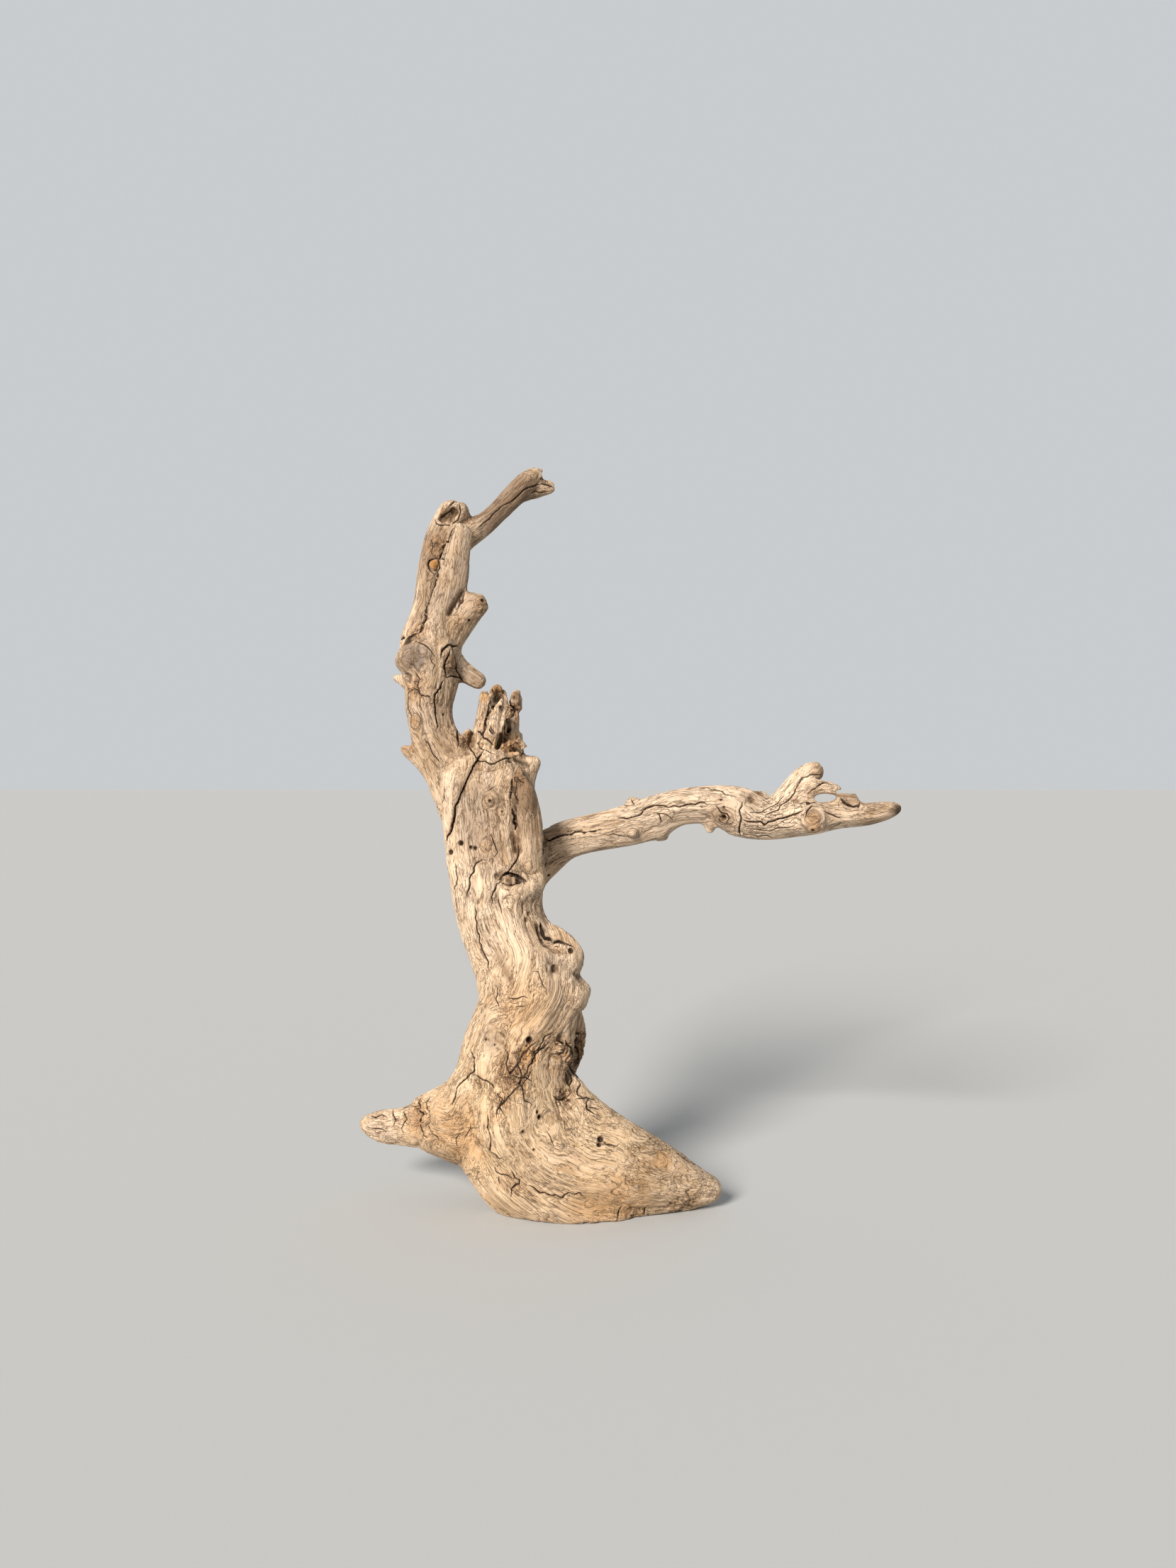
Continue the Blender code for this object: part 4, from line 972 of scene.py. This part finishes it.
def crack_relief(thickness, side, half_width, depth):
    """The notch of a crack and the low lips beside it."""
    wide = np.where(half_width > LEAST_HALF_WIDTH, np.maximum(half_width, CARVED_HALF_WIDTH), 1)
    notch = np.clip(1 - (np.abs(side) / wide) ** 2, 0, 1)
    lip = 0.25 * np.exp(-((np.abs(side) - 1.6 * wide) / 0.8) ** 2)
    narrowness = np.clip(half_width / 0.45, 0.3, 1)
    return np.where(
        half_width > LEAST_HALF_WIDTH, lip - narrowness * np.minimum(depth, 0.32 * thickness) * notch, 0)


def carve(skin, points, normals, grain, features):
    """The points after the relief has moved each of them along its normal."""
    rot = patch_share(skin, points, ROT_PATCHES)
    smooth = patch_share(skin, points, SMOOTH_PATCHES)
    splinters = patch_share(skin, points, SPLINTER_PATCHES)
    thickness = grain.thickness()
    thin = np.clip(thickness / FULL_RELIEF_RADIUS, 0.4, 1) * (1 - smooth)
    across, along, height, seed = GROOVES
    rise = height * thin * grain.noise(across, along, seed)
    across, along, height, seed = CREASES
    creases = np.minimum(np.abs(grain.noise(across, along, seed)) / CREASE_EDGE, 1)
    rise += height * thin * (creases - 0.75)
    across, along, height, seed = FIBRES
    rise += height * (1 - 0.6 * smooth) * grain.noise(across, along, seed)
    across, along, height, seed = SPLINTERS
    rise += height * splinters * (grain.noise(across, along, seed) - 0.35)
    size, height, seed = LUMPS
    rise += height * thin * ripple(points / size, seed)
    size, height, seed = CRUMBS
    blocks = np.minimum(np.abs(ripple(points / size, seed)) / CRUMB_EDGE, 1)
    grit = ripple(points / (0.5 * size), GRIT_SEED)
    rise += height * rot * (1.3 * blocks + 0.5 * grit - 1.1)
    for knot in features.knots:
        rise += knot.height(points)
    for layer in features.cracks:
        rise += crack_relief(thickness, *nearest_crack(points, layer))
    rise -= hole_gap(points, features.holes)[1] + hole_gap(points, features.pits)[1]
    value, openness = drying_checks(points, grain, rot)
    notch = np.clip(1 - (value / (1.6 * CHECK_HALF_WIDTH)) ** 2, 0, 1)
    checks = CHECK_DEPTH * openness * notch * np.clip(thickness / FULL_CHECK_RADIUS, 0.3, 1)
    return points + normals * rise[:, None] - normals * checks[:, None]


def hollowness(mesh, points, normals):
    """How far each point lies below its surroundings, in millimetres."""
    ends = read(mesh.edges, "vertices", np.int32, 2)
    one, other = ends.T
    count = np.bincount(ends.ravel(), minlength=len(points))
    level = points
    for _ in range(LEVELLING_PASSES):
        sums = [
            np.bincount(one, level[other, axis], len(points))
            + np.bincount(other, level[one, axis], len(points))
            for axis in range(3)
        ]
        level = np.stack(sums, axis=1) / count[:, None]
    return ((level - points) * normals).sum(1)


def knot_rings(points, knots):
    """How far each point lies from the nearest ringed knot's middle, in radii."""
    nearest = np.full(len(points), KNOT_REACH)
    for knot in knots:
        if knot.groove >= LEAST_GROOVE:
            share, _, depth = knot.reach(points)
            nearest = np.minimum(nearest, np.where(depth > 0.4, share, KNOT_REACH))
    return nearest


class Shade:
    """A value in a node tree, so that shader sums are written as Python sums."""

    def __init__(self, nodes, socket):
        self.nodes = nodes
        self.socket = socket

    def sum(self, operation, *values):
        return self.nodes.node("ShaderNodeMath", {"operation": operation}, dict(enumerate(values)))

    def __add__(self, other):
        return self.sum("ADD", self, other)

    def __sub__(self, other):
        return self.sum("SUBTRACT", self, other)

    def __rsub__(self, other):
        return self.sum("SUBTRACT", other, self)

    def __mul__(self, other):
        return self.sum("MULTIPLY", self, other)

    def __abs__(self):
        return self.sum("ABSOLUTE", self)

    __radd__ = __add__
    __rmul__ = __mul__


class Nodes:
    """A node tree, and the one way in which nodes are added to it."""

    def __init__(self, owner):
        owner.use_nodes = True
        self.tree = owner.node_tree

    def connect(self, socket, value):
        if isinstance(value, Shade):
            self.tree.links.new(value.socket, socket)
        else:
            socket.default_value = value

    def node(self, kind, settings, sockets, output=0):
        """A node of a kind, with its settings, and the values or links of its sockets."""
        node = self.tree.nodes.new(kind)
        for name, value in settings.items():
            setattr(node, name, value)
        for name, value in sockets.items():
            self.connect(node.inputs[name], value)
        return Shade(self, node.outputs[output])

    def ramp(self, value, low, high, start=0.0, end=1.0):
        """A soft rise of a value from start at low to end at high."""
        sockets = {"Value": value, "From Min": low, "From Max": high, "To Min": start, "To Max": end}
        return self.node("ShaderNodeMapRange", {"interpolation_type": "SMOOTHSTEP"}, sockets)


class Finish(Nodes):
    """A material and the nodes that make it."""

    def __init__(self, name):
        self.material = bpy.data.materials.new(name)
        super().__init__(self.material)

    def feed(self, name, value):
        """Connects a value to one of the shader's own sockets."""
        self.connect(self.tree.nodes["Principled BSDF"].inputs[name], value)

    def stored(self, name, output="Fac"):
        """A number that the mesh keeps at each point, or with the output Vector, a vector."""
        return self.node("ShaderNodeAttribute", {"attribute_name": name}, {}, output)

    def scaled(self, vector, scales, shift=(0, 0, 0)):
        sockets = {0: vector, 1: scales, 2: shift}
        return self.node("ShaderNodeVectorMath", {"operation": "MULTIPLY_ADD"}, sockets)

    def noise(self, vector, detail=2.0, output=0):
        sockets = {"Vector": vector, "Scale": 1.0, "Detail": detail, "Roughness": 0.5}
        return self.node("ShaderNodeTexNoise", {}, sockets, output)

    def waves(self, value, pitch):
        return self.node("ShaderNodeMath", {"operation": "SINE"}, {0: value * (2 * math.pi / pitch)})

    def mix(self, first, second, share):
        return self.node("ShaderNodeMix", {"data_type": "RGBA"}, {0: share, 6: first, 7: second}, 2)


class WoodFinish(Finish):
    """A wood's colour and relief, painted on along its fibres, sizes in millimetres."""

    def __init__(self, name, colour):
        super().__init__(name)
        self.fibres = [self.stored(layer, "Vector") for layer in ("grain_one", "grain_two")]
        self.share = self.stored("grain_share")
        self.place = self.stored("place", "Vector")
        self.colour = colour
        self.relief = 0.0

    def between(self, values):
        """One value from those of the two stems that pass nearest."""
        return values[0] * (1 - self.share) + values[1] * self.share

    def streaks(self, across, along, shift, detail=2.0):
        """Noise drawn out along the fibres."""
        scales = (1 / across, 1 / across, 1 / along)
        shifts = (shift, shift, 0)
        patterns = [self.noise(self.scaled(vector, scales, shifts), detail) for vector in self.fibres]
        return self.between(patterns)

    def blotches(self, size, shift):
        return self.noise(self.scaled(self.place, (1 / size,) * 3, (shift, 0, shift)), 3.0)

    def line(self, value, width):
        """1 along the lines where a noise passes its middle, 0 away from them."""
        return 1 - self.ramp(abs(value - 0.5), 0.2 * width, width)

    def plates(self, size, bend_size, width):
        """1 along the cracks between the plates that wood breaks into."""
        bend = self.noise(self.scaled(self.place, (1 / bend_size,) * 3), 2.0, "Color")
        sockets = {
            "Vector": self.scaled(self.place, (1 / size, 1 / size, 0.75 / size), bend),
            "Scale": 1.0,
        }
        cells = self.node("ShaderNodeTexVoronoi", {"feature": "DISTANCE_TO_EDGE"}, sockets, "Distance")
        return 1 - self.ramp(cells * size, 0.3 * width, width)

    def from_pith(self):
        """How far each place lies from the pith."""
        settings = {"operation": "LENGTH"}
        return self.between([
            self.node("ShaderNodeVectorMath", settings, {0: self.scaled(vector, (1, 1, 0))}, "Value")
            for vector in self.fibres
        ])

    def paint(self, colour, share):
        self.colour = self.mix(self.colour, colour, share)

    def paint_patches(self, patches, colour, cover):
        """Paints the patches that the mesh keeps under a name, as far as the cover takes the colour."""
        self.paint(colour, self.stored(patches) * cover)

    def mark(self, colour, shape, strength, depth):
        """Paints a shape and sinks it into the relief."""
        self.paint(colour, shape * strength)
        self.relief = self.relief - depth * shape


def paint_tones_and_patches(wood, broad, narrow, fine, cloud):
    """The bleached wood's tones, and the colour of each kind of patch: stains, and the painted light and
    shade of the pale and brown patches.
    """
    # The pale patches, in part painted light, also lift the tone a little.
    tone = 0.30 * broad + 0.30 * narrow + 0.26 * fine + 0.14 * cloud + 0.06 * wood.stored("pale")
    wood.paint(PALE, wood.ramp(tone, 0.435, 0.575))
    wood.paint_patches("honey", HONEY, wood.ramp(broad + 0.4 * cloud, 0.5, 0.85, 0.3, 1.0))
    wood.paint(UMBER, wood.ramp(wood.blotches(17.0, 40), 0.54, 0.78, 0, 0.35))
    # Painted light, in part: the pale patches include the lit side of the central stem, the arm and the burl.
    wood.paint_patches("pale", PALE, wood.ramp(narrow, 0.35, 0.62, 0.05, 0.36))
    # Painted shade, in part: the brown patches include the darkened tall limb.
    wood.paint_patches("brown", BARK, wood.ramp(narrow + 0.4 * cloud, 0.45, 0.90, 1.0, 0.70))
    wood.paint_patches("grey", GREY, wood.ramp(narrow + 0.5 * cloud, 0.55, 0.95, 0.35, 0.90))
    wood.paint_patches("warm", ORANGE, wood.ramp(broad, 0.3, 0.7, 0.6, 1.0))
    wood.paint_patches("rot", RUST, wood.ramp(wood.blotches(5.5, 60), 0.36, 0.60, 0.25, 0.8))


def draw_growth_rings(wood, narrow, cloud):
    """Thin dark rings in places, and wide warm ones between them."""
    growth = wood.from_pith() + 9.0 * wood.streaks(8.0, 44.0, 23) + 1.3 * narrow
    thin = wood.ramp(wood.waves(growth, THIN_RINGS), 0.35, 0.98)
    wood.mark(UMBER, thin * wood.ramp(wood.blotches(15.0, 33), 0.42, 0.60), 0.42, 0.35)
    wide = wood.ramp(wood.waves(growth + 3.0 * cloud, WIDE_RINGS), 0.60, 0.99)
    wide = wide * wood.ramp(wood.blotches(21.0, 90), 0.42, 0.56)
    wood.paint(OCHRE, wide * (0.25 + 0.45 * wood.stored("honey")))


def draw_grain_lines(wood):
    """Soft streaks, long hairlines and short dark lines along the fibres."""
    streak = wood.ramp(wood.streaks(1.1, 24.0, 53), 0.55, 0.66)
    streak = streak * wood.ramp(wood.blotches(12.0, 66), 0.40, 0.58)
    wood.paint(UMBER, streak * 0.38)
    hairline = wood.line(wood.streaks(2.4, 40.0, 47, 3.0), 0.022)
    wood.mark(BROWN, hairline * wood.ramp(wood.blotches(14.0, 80), 0.38, 0.50), 0.76, 0.55)
    short_line = wood.line(wood.streaks(1.3, 11.0, 71), 0.034)
    wood.mark(BROWN, short_line * wood.ramp(wood.streaks(6.0, 30.0, 90), 0.47, 0.57), 0.62, 0.40)


def draw_knots(wood):
    """Rings inside each knot, and a dark line round it."""
    knot = wood.stored("knot")
    rings = wood.waves(0.5 * wood.blotches(2.9, 13) + 2.8 * knot, 1.0)
    wood.paint(UMBER, wood.ramp(knot, 1.0, 0.8) * wood.ramp(rings, -0.2, 1.0) * 0.6)
    wood.paint(BROWN, (1 - wood.ramp(abs(knot - 1.0), 0.02, 0.14)) * 0.6)


def shade_hollows_light_ridges(wood):
    """Painted shade in the hollows, which also stands for dirt there, and painted light, as well as
    bleaching, on the ridges.
    """
    hollow = wood.stored("hollow")
    clean = wood.ramp(wood.stored("grey") + wood.stored("brown"), 0.9, 0.2)
    # Painted shade: the hollows darken towards brown, as shade and dirt gather there.
    wood.paint(BROWN, wood.ramp(hollow, 0.12, 1.1, 0, 0.75))
    # Painted light: the ridges grow paler where no grey or brown patch lies.
    wood.paint(PALE, wood.ramp(hollow, -0.15, -0.9, 0, 0.18) * clean)


def draw_small_breaks(wood):
    """Dashes, fine crackle, the plates that rotten wood breaks into, and the drying cracks. The cracks
    between the plates and the drying cracks are painted dark as shade.
    """
    rot = wood.stored("rot")
    dash = wood.ramp(wood.streaks(1.7, 6.5, 111), 0.60, 0.70)
    wood.mark(BROWN, dash * wood.ramp(wood.blotches(10.0, 140), 0.40, 0.62, 0.25, 1.0), 0.42, 0.5)
    crackle = wood.plates(3.6, 2.0, 0.12) * wood.ramp(wood.blotches(19.0, 120), 0.57, 0.66)
    wood.mark(BROWN, crackle, 0.55, 0.5)
    wood.paint(BROWN, wood.plates(7.0, 3.2, 0.8) * wood.ramp(rot, 0.3, 0.9, 0, 0.3))
    # Painted shade: the cracks between the rotten plates are darkened as the shade inside them.
    wood.mark(DARK, wood.plates(7.0, 3.2, 0.30) * wood.ramp(rot, 0.35, 0.80), 0.65, 1.2)
    # Painted shade: the drying cracks are drawn as dark lines, the shade inside them.
    check_line = 1 - wood.ramp(abs(wood.stored("check")), 0.02, 0.12)
    wood.mark(DARK, check_line * wood.stored("check_share") * (1 - 0.8 * rot), 0.75, 0.9)


def draw_cracks_and_holes(wood):
    """A stained rim and a dark opening for each crack and hole, the openings painted shade, and last the dark
    patches, mostly painted shade in gaps and crevices.
    """
    for layer in CRACK_LAYERS:
        side = abs(wood.stored("crack_side_" + layer))
        half_width = wood.stored("crack_half_" + layer)
        rim = wood.ramp(side - 1.7 * half_width, 0.7, -0.2) * wood.ramp(half_width, 0.02, 0.3)
        # Painted shade: each crack's opening is darkened as the shade inside it.
        opening = wood.ramp(side - half_width, 0.14, -0.12) * wood.ramp(half_width, 0.02, 0.14)
        wood.paint(BROWN, rim * 0.45)
        wood.mark(DARK, opening, 0.97, 1.6)
    hole = wood.stored("hole")
    wood.paint(BROWN, wood.ramp(hole, 1.1, 0.1, 0, 0.6))
    # Painted shade: the inside of each hole is darkened.
    wood.mark(DARK, wood.ramp(hole, 0.15, -0.45), 0.88, 1.2)
    # Painted shade: the dark patches darken the gaps, crevices and hollows, along with a few dark spots of
    # wood.
    wood.paint(DARK, wood.stored("dark") * 0.94)


def weathered_wood():
    """Dry bleached wood: streaks and growth lines along the fibres, painted shade and dirt in the cracks and
    hollows, knots and rot.
    """
    wood = WoodFinish("weathered_wood", TAN)
    broad = wood.streaks(7.0, 90.0, 0)
    narrow = wood.streaks(1.9, 36.0, 17)
    fine = wood.streaks(0.6, 16.0, 31)
    cloud = wood.blotches(26.0, 5)
    wood.relief = 0.45 * fine + 0.55 * narrow + 0.25 * wood.blotches(1.3, 100)
    paint_tones_and_patches(wood, broad, narrow, fine, cloud)
    draw_growth_rings(wood, narrow, cloud)
    draw_grain_lines(wood)
    draw_knots(wood)
    shade_hollows_light_ridges(wood)
    draw_small_breaks(wood)
    draw_cracks_and_holes(wood)
    wood.feed("Base Color", wood.colour)
    wood.feed("Roughness", wood.ramp(fine + narrow, 0.8, 1.2, 0.78, 0.92))
    wood.feed("Specular IOR Level", WOOD_SPECULAR)
    sockets = {"Strength": 1.0, "Distance": BUMP_HEIGHT, "Height": wood.relief}
    wood.feed("Normal", wood.node("ShaderNodeBump", {}, sockets, "Normal"))
    return wood.material


def read(items, field, kind, width=1):
    """One field of all of a mesh's items."""
    values = np.empty(len(items) * width, kind)
    items.foreach_get(field, values)
    return values.reshape(-1, width) if width > 1 else values


def points_of(mesh):
    return read(mesh.vertices, "co", np.float32, 3).astype(float) / MM


def normals_of(mesh):
    return read(mesh.vertex_normals, "vector", np.float32, 3).astype(float)


def place_points(mesh, points):
    """Moves the mesh's points, and keeps them inside the solid's box."""
    low, high = np.array(CAD_BOX) / MM
    kept = np.clip(points, low + np.multiply(BOX_MARGIN, (1, 1, 0)), high - BOX_MARGIN)
    mesh.vertices.foreach_set("co", (kept * MM).astype(np.float32).ravel())
    mesh.update()


def new_object(name, data):
    made = bpy.data.objects.new(name, data)
    bpy.context.scene.collection.objects.link(made)
    return made


def apply_modifiers(piece):
    graph = bpy.context.evaluated_depsgraph_get()
    mesh = bpy.data.meshes.new_from_object(piece.evaluated_get(graph))
    piece.modifiers.clear()
    piece.data = mesh


def hull(bm, rows):
    """Adds the smallest closed form round the points, given in millimetres."""
    corners = [bm.verts.new(Vector(row) * MM) for row in rows]
    made = bmesh.ops.convex_hull(bm, input=corners)
    spare = list(set(made["geom_interior"] + made["geom_unused"]))
    bmesh.ops.delete(bm, geom=spare, context="VERTS")


def ring_points(centre, first, second, radius):
    """Points of a ring round a centre, in the plane of two directions."""
    turns = np.arange(RING_CORNERS) * (2 * math.pi / RING_CORNERS)
    return [centre + radius * (math.cos(turn) * first + math.sin(turn) * second) for turn in turns]


def weld(mesh):
    """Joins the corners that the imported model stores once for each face."""
    bm = bmesh.new()
    bm.from_mesh(mesh)
    bmesh.ops.remove_doubles(bm, verts=bm.verts, dist=WELD_DISTANCE * MM)
    bm.to_mesh(mesh)
    bm.free()


def build_gaps():
    """The closed forms that the gaps between the shards are cut with."""
    across = np.array((1, 0, 0))
    up = np.array((0, 0, 1))
    bm = bmesh.new()
    for upper, lower, deep in GAPS.values():
        rows = []
        for x, z, radius in (upper, lower):
            for y, share in ((GAP_START, 1.0), (deep, 0.6)):
                rows += ring_points(np.array((x, y, z)), across, up, share * radius)
        hull(bm, rows)
    mesh = bpy.data.meshes.new("gaps")
    bm.to_mesh(mesh)
    bm.free()
    return new_object("gaps", mesh)


def add_splinters(mesh):
    """Joins the crown's splinters to the wood's mesh, as chains of closed forms."""
    bm = bmesh.new()
    for stations in ADDED_SPLINTERS.values():
        stem = Stem(stations)
        for i in range(len(stem.centre) - 1):
            rows = []
            for j in (i, i + 1):
                rows += ring_points(stem.centre[j], stem.side[j], stem.back[j], stem.radius[j])
            hull(bm, rows)
    bm.from_mesh(mesh)
    bm.to_mesh(mesh)
    bm.free()


def round_off(wood):
    """Rounds the solid's facets off, opens the crown and meshes the wood finely enough to carve."""
    weld(wood.data)
    soften = wood.modifiers.new("round_facets", "SUBSURF")
    soften.levels = soften.render_levels = ROUNDING_LEVELS
    gaps = build_gaps()
    opening = wood.modifiers.new("open_crown", "BOOLEAN")
    opening.operation = "DIFFERENCE"
    opening.solver = "MANIFOLD"
    opening.object = gaps
    apply_modifiers(wood)
    bpy.data.objects.remove(gaps)
    add_splinters(wood.data)
    skin = wood.modifiers.new("fine_skin", "REMESH")
    skin.mode = "VOXEL"
    skin.voxel_size = CARVING_VOXEL * MM
    smooth = wood.modifiers.new("smooth", "SMOOTH")
    smooth.iterations = ROUNDING_PASSES
    apply_modifiers(wood)


def thin_out(wood):
    """Thins the carved wood out to about as many triangles as FINAL_TRIANGLES. Leaves
    the carved wood with no more triangles than the piece may have.
    """
    fewer = wood.modifiers.new("fewer", "DECIMATE")
    fewer.ratio = FINAL_TRIANGLES / (2 * len(wood.data.polygons))
    fewer.use_collapse_triangulate = True
    apply_modifiers(wood)
    wood.data.shade_smooth()
    place_points(wood.data, points_of(wood.data))


def store(mesh, name, values, domain="POINT"):
    """Keeps a number or a vector at each point or corner of the mesh for the finish to read."""
    kind, field = ("FLOAT", "value") if values.ndim == 1 else ("FLOAT_VECTOR", "vector")
    layer = mesh.attributes.new(name, kind, domain)
    layer.data.foreach_set(field, values.astype(np.float32).ravel())


def store_grain(mesh, grain):
    """Keeps the two nearest stems' straightened coordinates at each face's corners, in millimetres."""
    corners = read(mesh.loops, "vertex_index", np.int32).reshape(-1, 3)
    face_reach = grain.reach[:, corners].mean(2)
    first, second = np.argsort(face_reach, axis=0)[:2][:, :, None]
    gap = grain.reach[second, corners] - grain.reach[first, corners]
    share = np.clip(0.5 - 0.5 * gap / BLEND_BAND, 0, 1)
    for name, stem in (("grain_one", first), ("grain_two", second)):
        store(mesh, name, grain.place[stem, corners].reshape(-1, 3), "CORNER")
    store(mesh, "grain_share", share.ravel(), "CORNER")


def store_marks(mesh, skin, stems, features):
    """Keeps all that the finish reads from the mesh."""
    points = points_of(mesh)
    grain = Grain(points, stems, features.knots)
    store_grain(mesh, grain)
    store(mesh, "place", points)
    for name, table in STAINS_LIGHT_AND_SHADE.items():
        store(mesh, name, patch_share(skin, points, table))
    for name, layer in zip(CRACK_LAYERS, features.cracks):
        side, half_width, _ = nearest_crack(points, layer)
        store(mesh, "crack_side_" + name, side)
        store(mesh, "crack_half_" + name, half_width)
    value, openness = drying_checks(points, grain, patch_share(skin, points, ROT_PATCHES))
    store(mesh, "check", value)
    store(mesh, "check_share", openness)
    store(mesh, "hole", hole_gap(points, features.holes)[0])
    store(mesh, "knot", knot_rings(points, features.knots))
    store(mesh, "hollow", hollowness(mesh, points, normals_of(mesh)))


def build_driftwood():
    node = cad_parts["driftwood"]
    wood = new_object("weathered_wood", node.data.copy())
    round_off(wood)
    points = points_of(wood.data)
    normals = normals_of(wood.data)
    stems = [Stem(stations, TURNS.get(name, NO_TURN)) for name, stations in STEMS.items()]
    skin = Skin(wood, points, normals, Grain(points, stems).ahead)
    features = Features(skin, np.random.default_rng(17))
    grain = Grain(points, stems, features.knots)
    place_points(wood.data, carve(skin, points, normals, grain, features))
    thin_out(wood)
    store_marks(wood.data, skin, stems, features)
    wood.data.materials.clear()
    wood.data.materials.append(weathered_wood())
    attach(wood, "root")
    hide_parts("driftwood")


def build_camera():
    lens = bpy.data.cameras.new("photo_camera")
    lens.sensor_fit = "VERTICAL"
    lens.sensor_height = FILM_HEIGHT_MM
    lens.lens = LENS_PIXELS / PICTURE[1] * FILM_HEIGHT_MM
    camera = new_object("photo_camera", lens)
    camera.location = CAMERA_PLACE
    camera.rotation_euler = (math.pi / 2, 0, 0)
    bpy.context.scene.camera = camera


def build_floor():
    mesh = bpy.data.meshes.new("floor")
    corners = [(x * FLOOR_REACH, y * FLOOR_REACH, 0) for x, y in ((-1, -1), (1, -1), (1, 1), (-1, 1))]
    mesh.from_pydata(corners, [], [(0, 1, 2, 3)])
    floor = new_object("floor", mesh)
    finish = Finish("pale_floor")
    finish.feed("Base Color", FLOOR_COLOUR)
    finish.feed("Roughness", FLOOR_ROUGHNESS)
    mesh.materials.append(finish.material)


def build_window_light():
    """Soft even light from one side, which falls on the piece's front."""
    lamp = bpy.data.lights.new("window", "SUN")
    lamp.angle = WINDOW_WIDTH
    lamp.energy = WINDOW_STRENGTH
    lamp.color = WINDOW_COLOUR
    light = new_object("window", lamp)
    light.location = WINDOW_PLACE
    light.rotation_euler = (Vector(LIT_PLACE) - Vector(WINDOW_PLACE)).to_track_quat("-Z", "Y").to_euler()


def build_surroundings():
    """Even pale light all round, dimmer in front of the piece than behind it."""
    world = bpy.data.worlds.new("studio")
    studio = Nodes(world)
    way = studio.node("ShaderNodeTexCoord", {}, {}, "Generated")
    backwards = studio.node("ShaderNodeSeparateXYZ", {}, {0: way}, "Y")
    light = studio.tree.nodes["Background"]
    studio.connect(light.inputs["Strength"], studio.ramp(backwards, *AMBIENT_RISE))
    studio.connect(light.inputs["Color"], AMBIENT_COLOUR)
    bpy.context.scene.world = world
    bpy.context.scene.view_settings.view_transform = "Standard"


build_camera()
build_floor()
build_surroundings()
build_window_light()
build_driftwood()
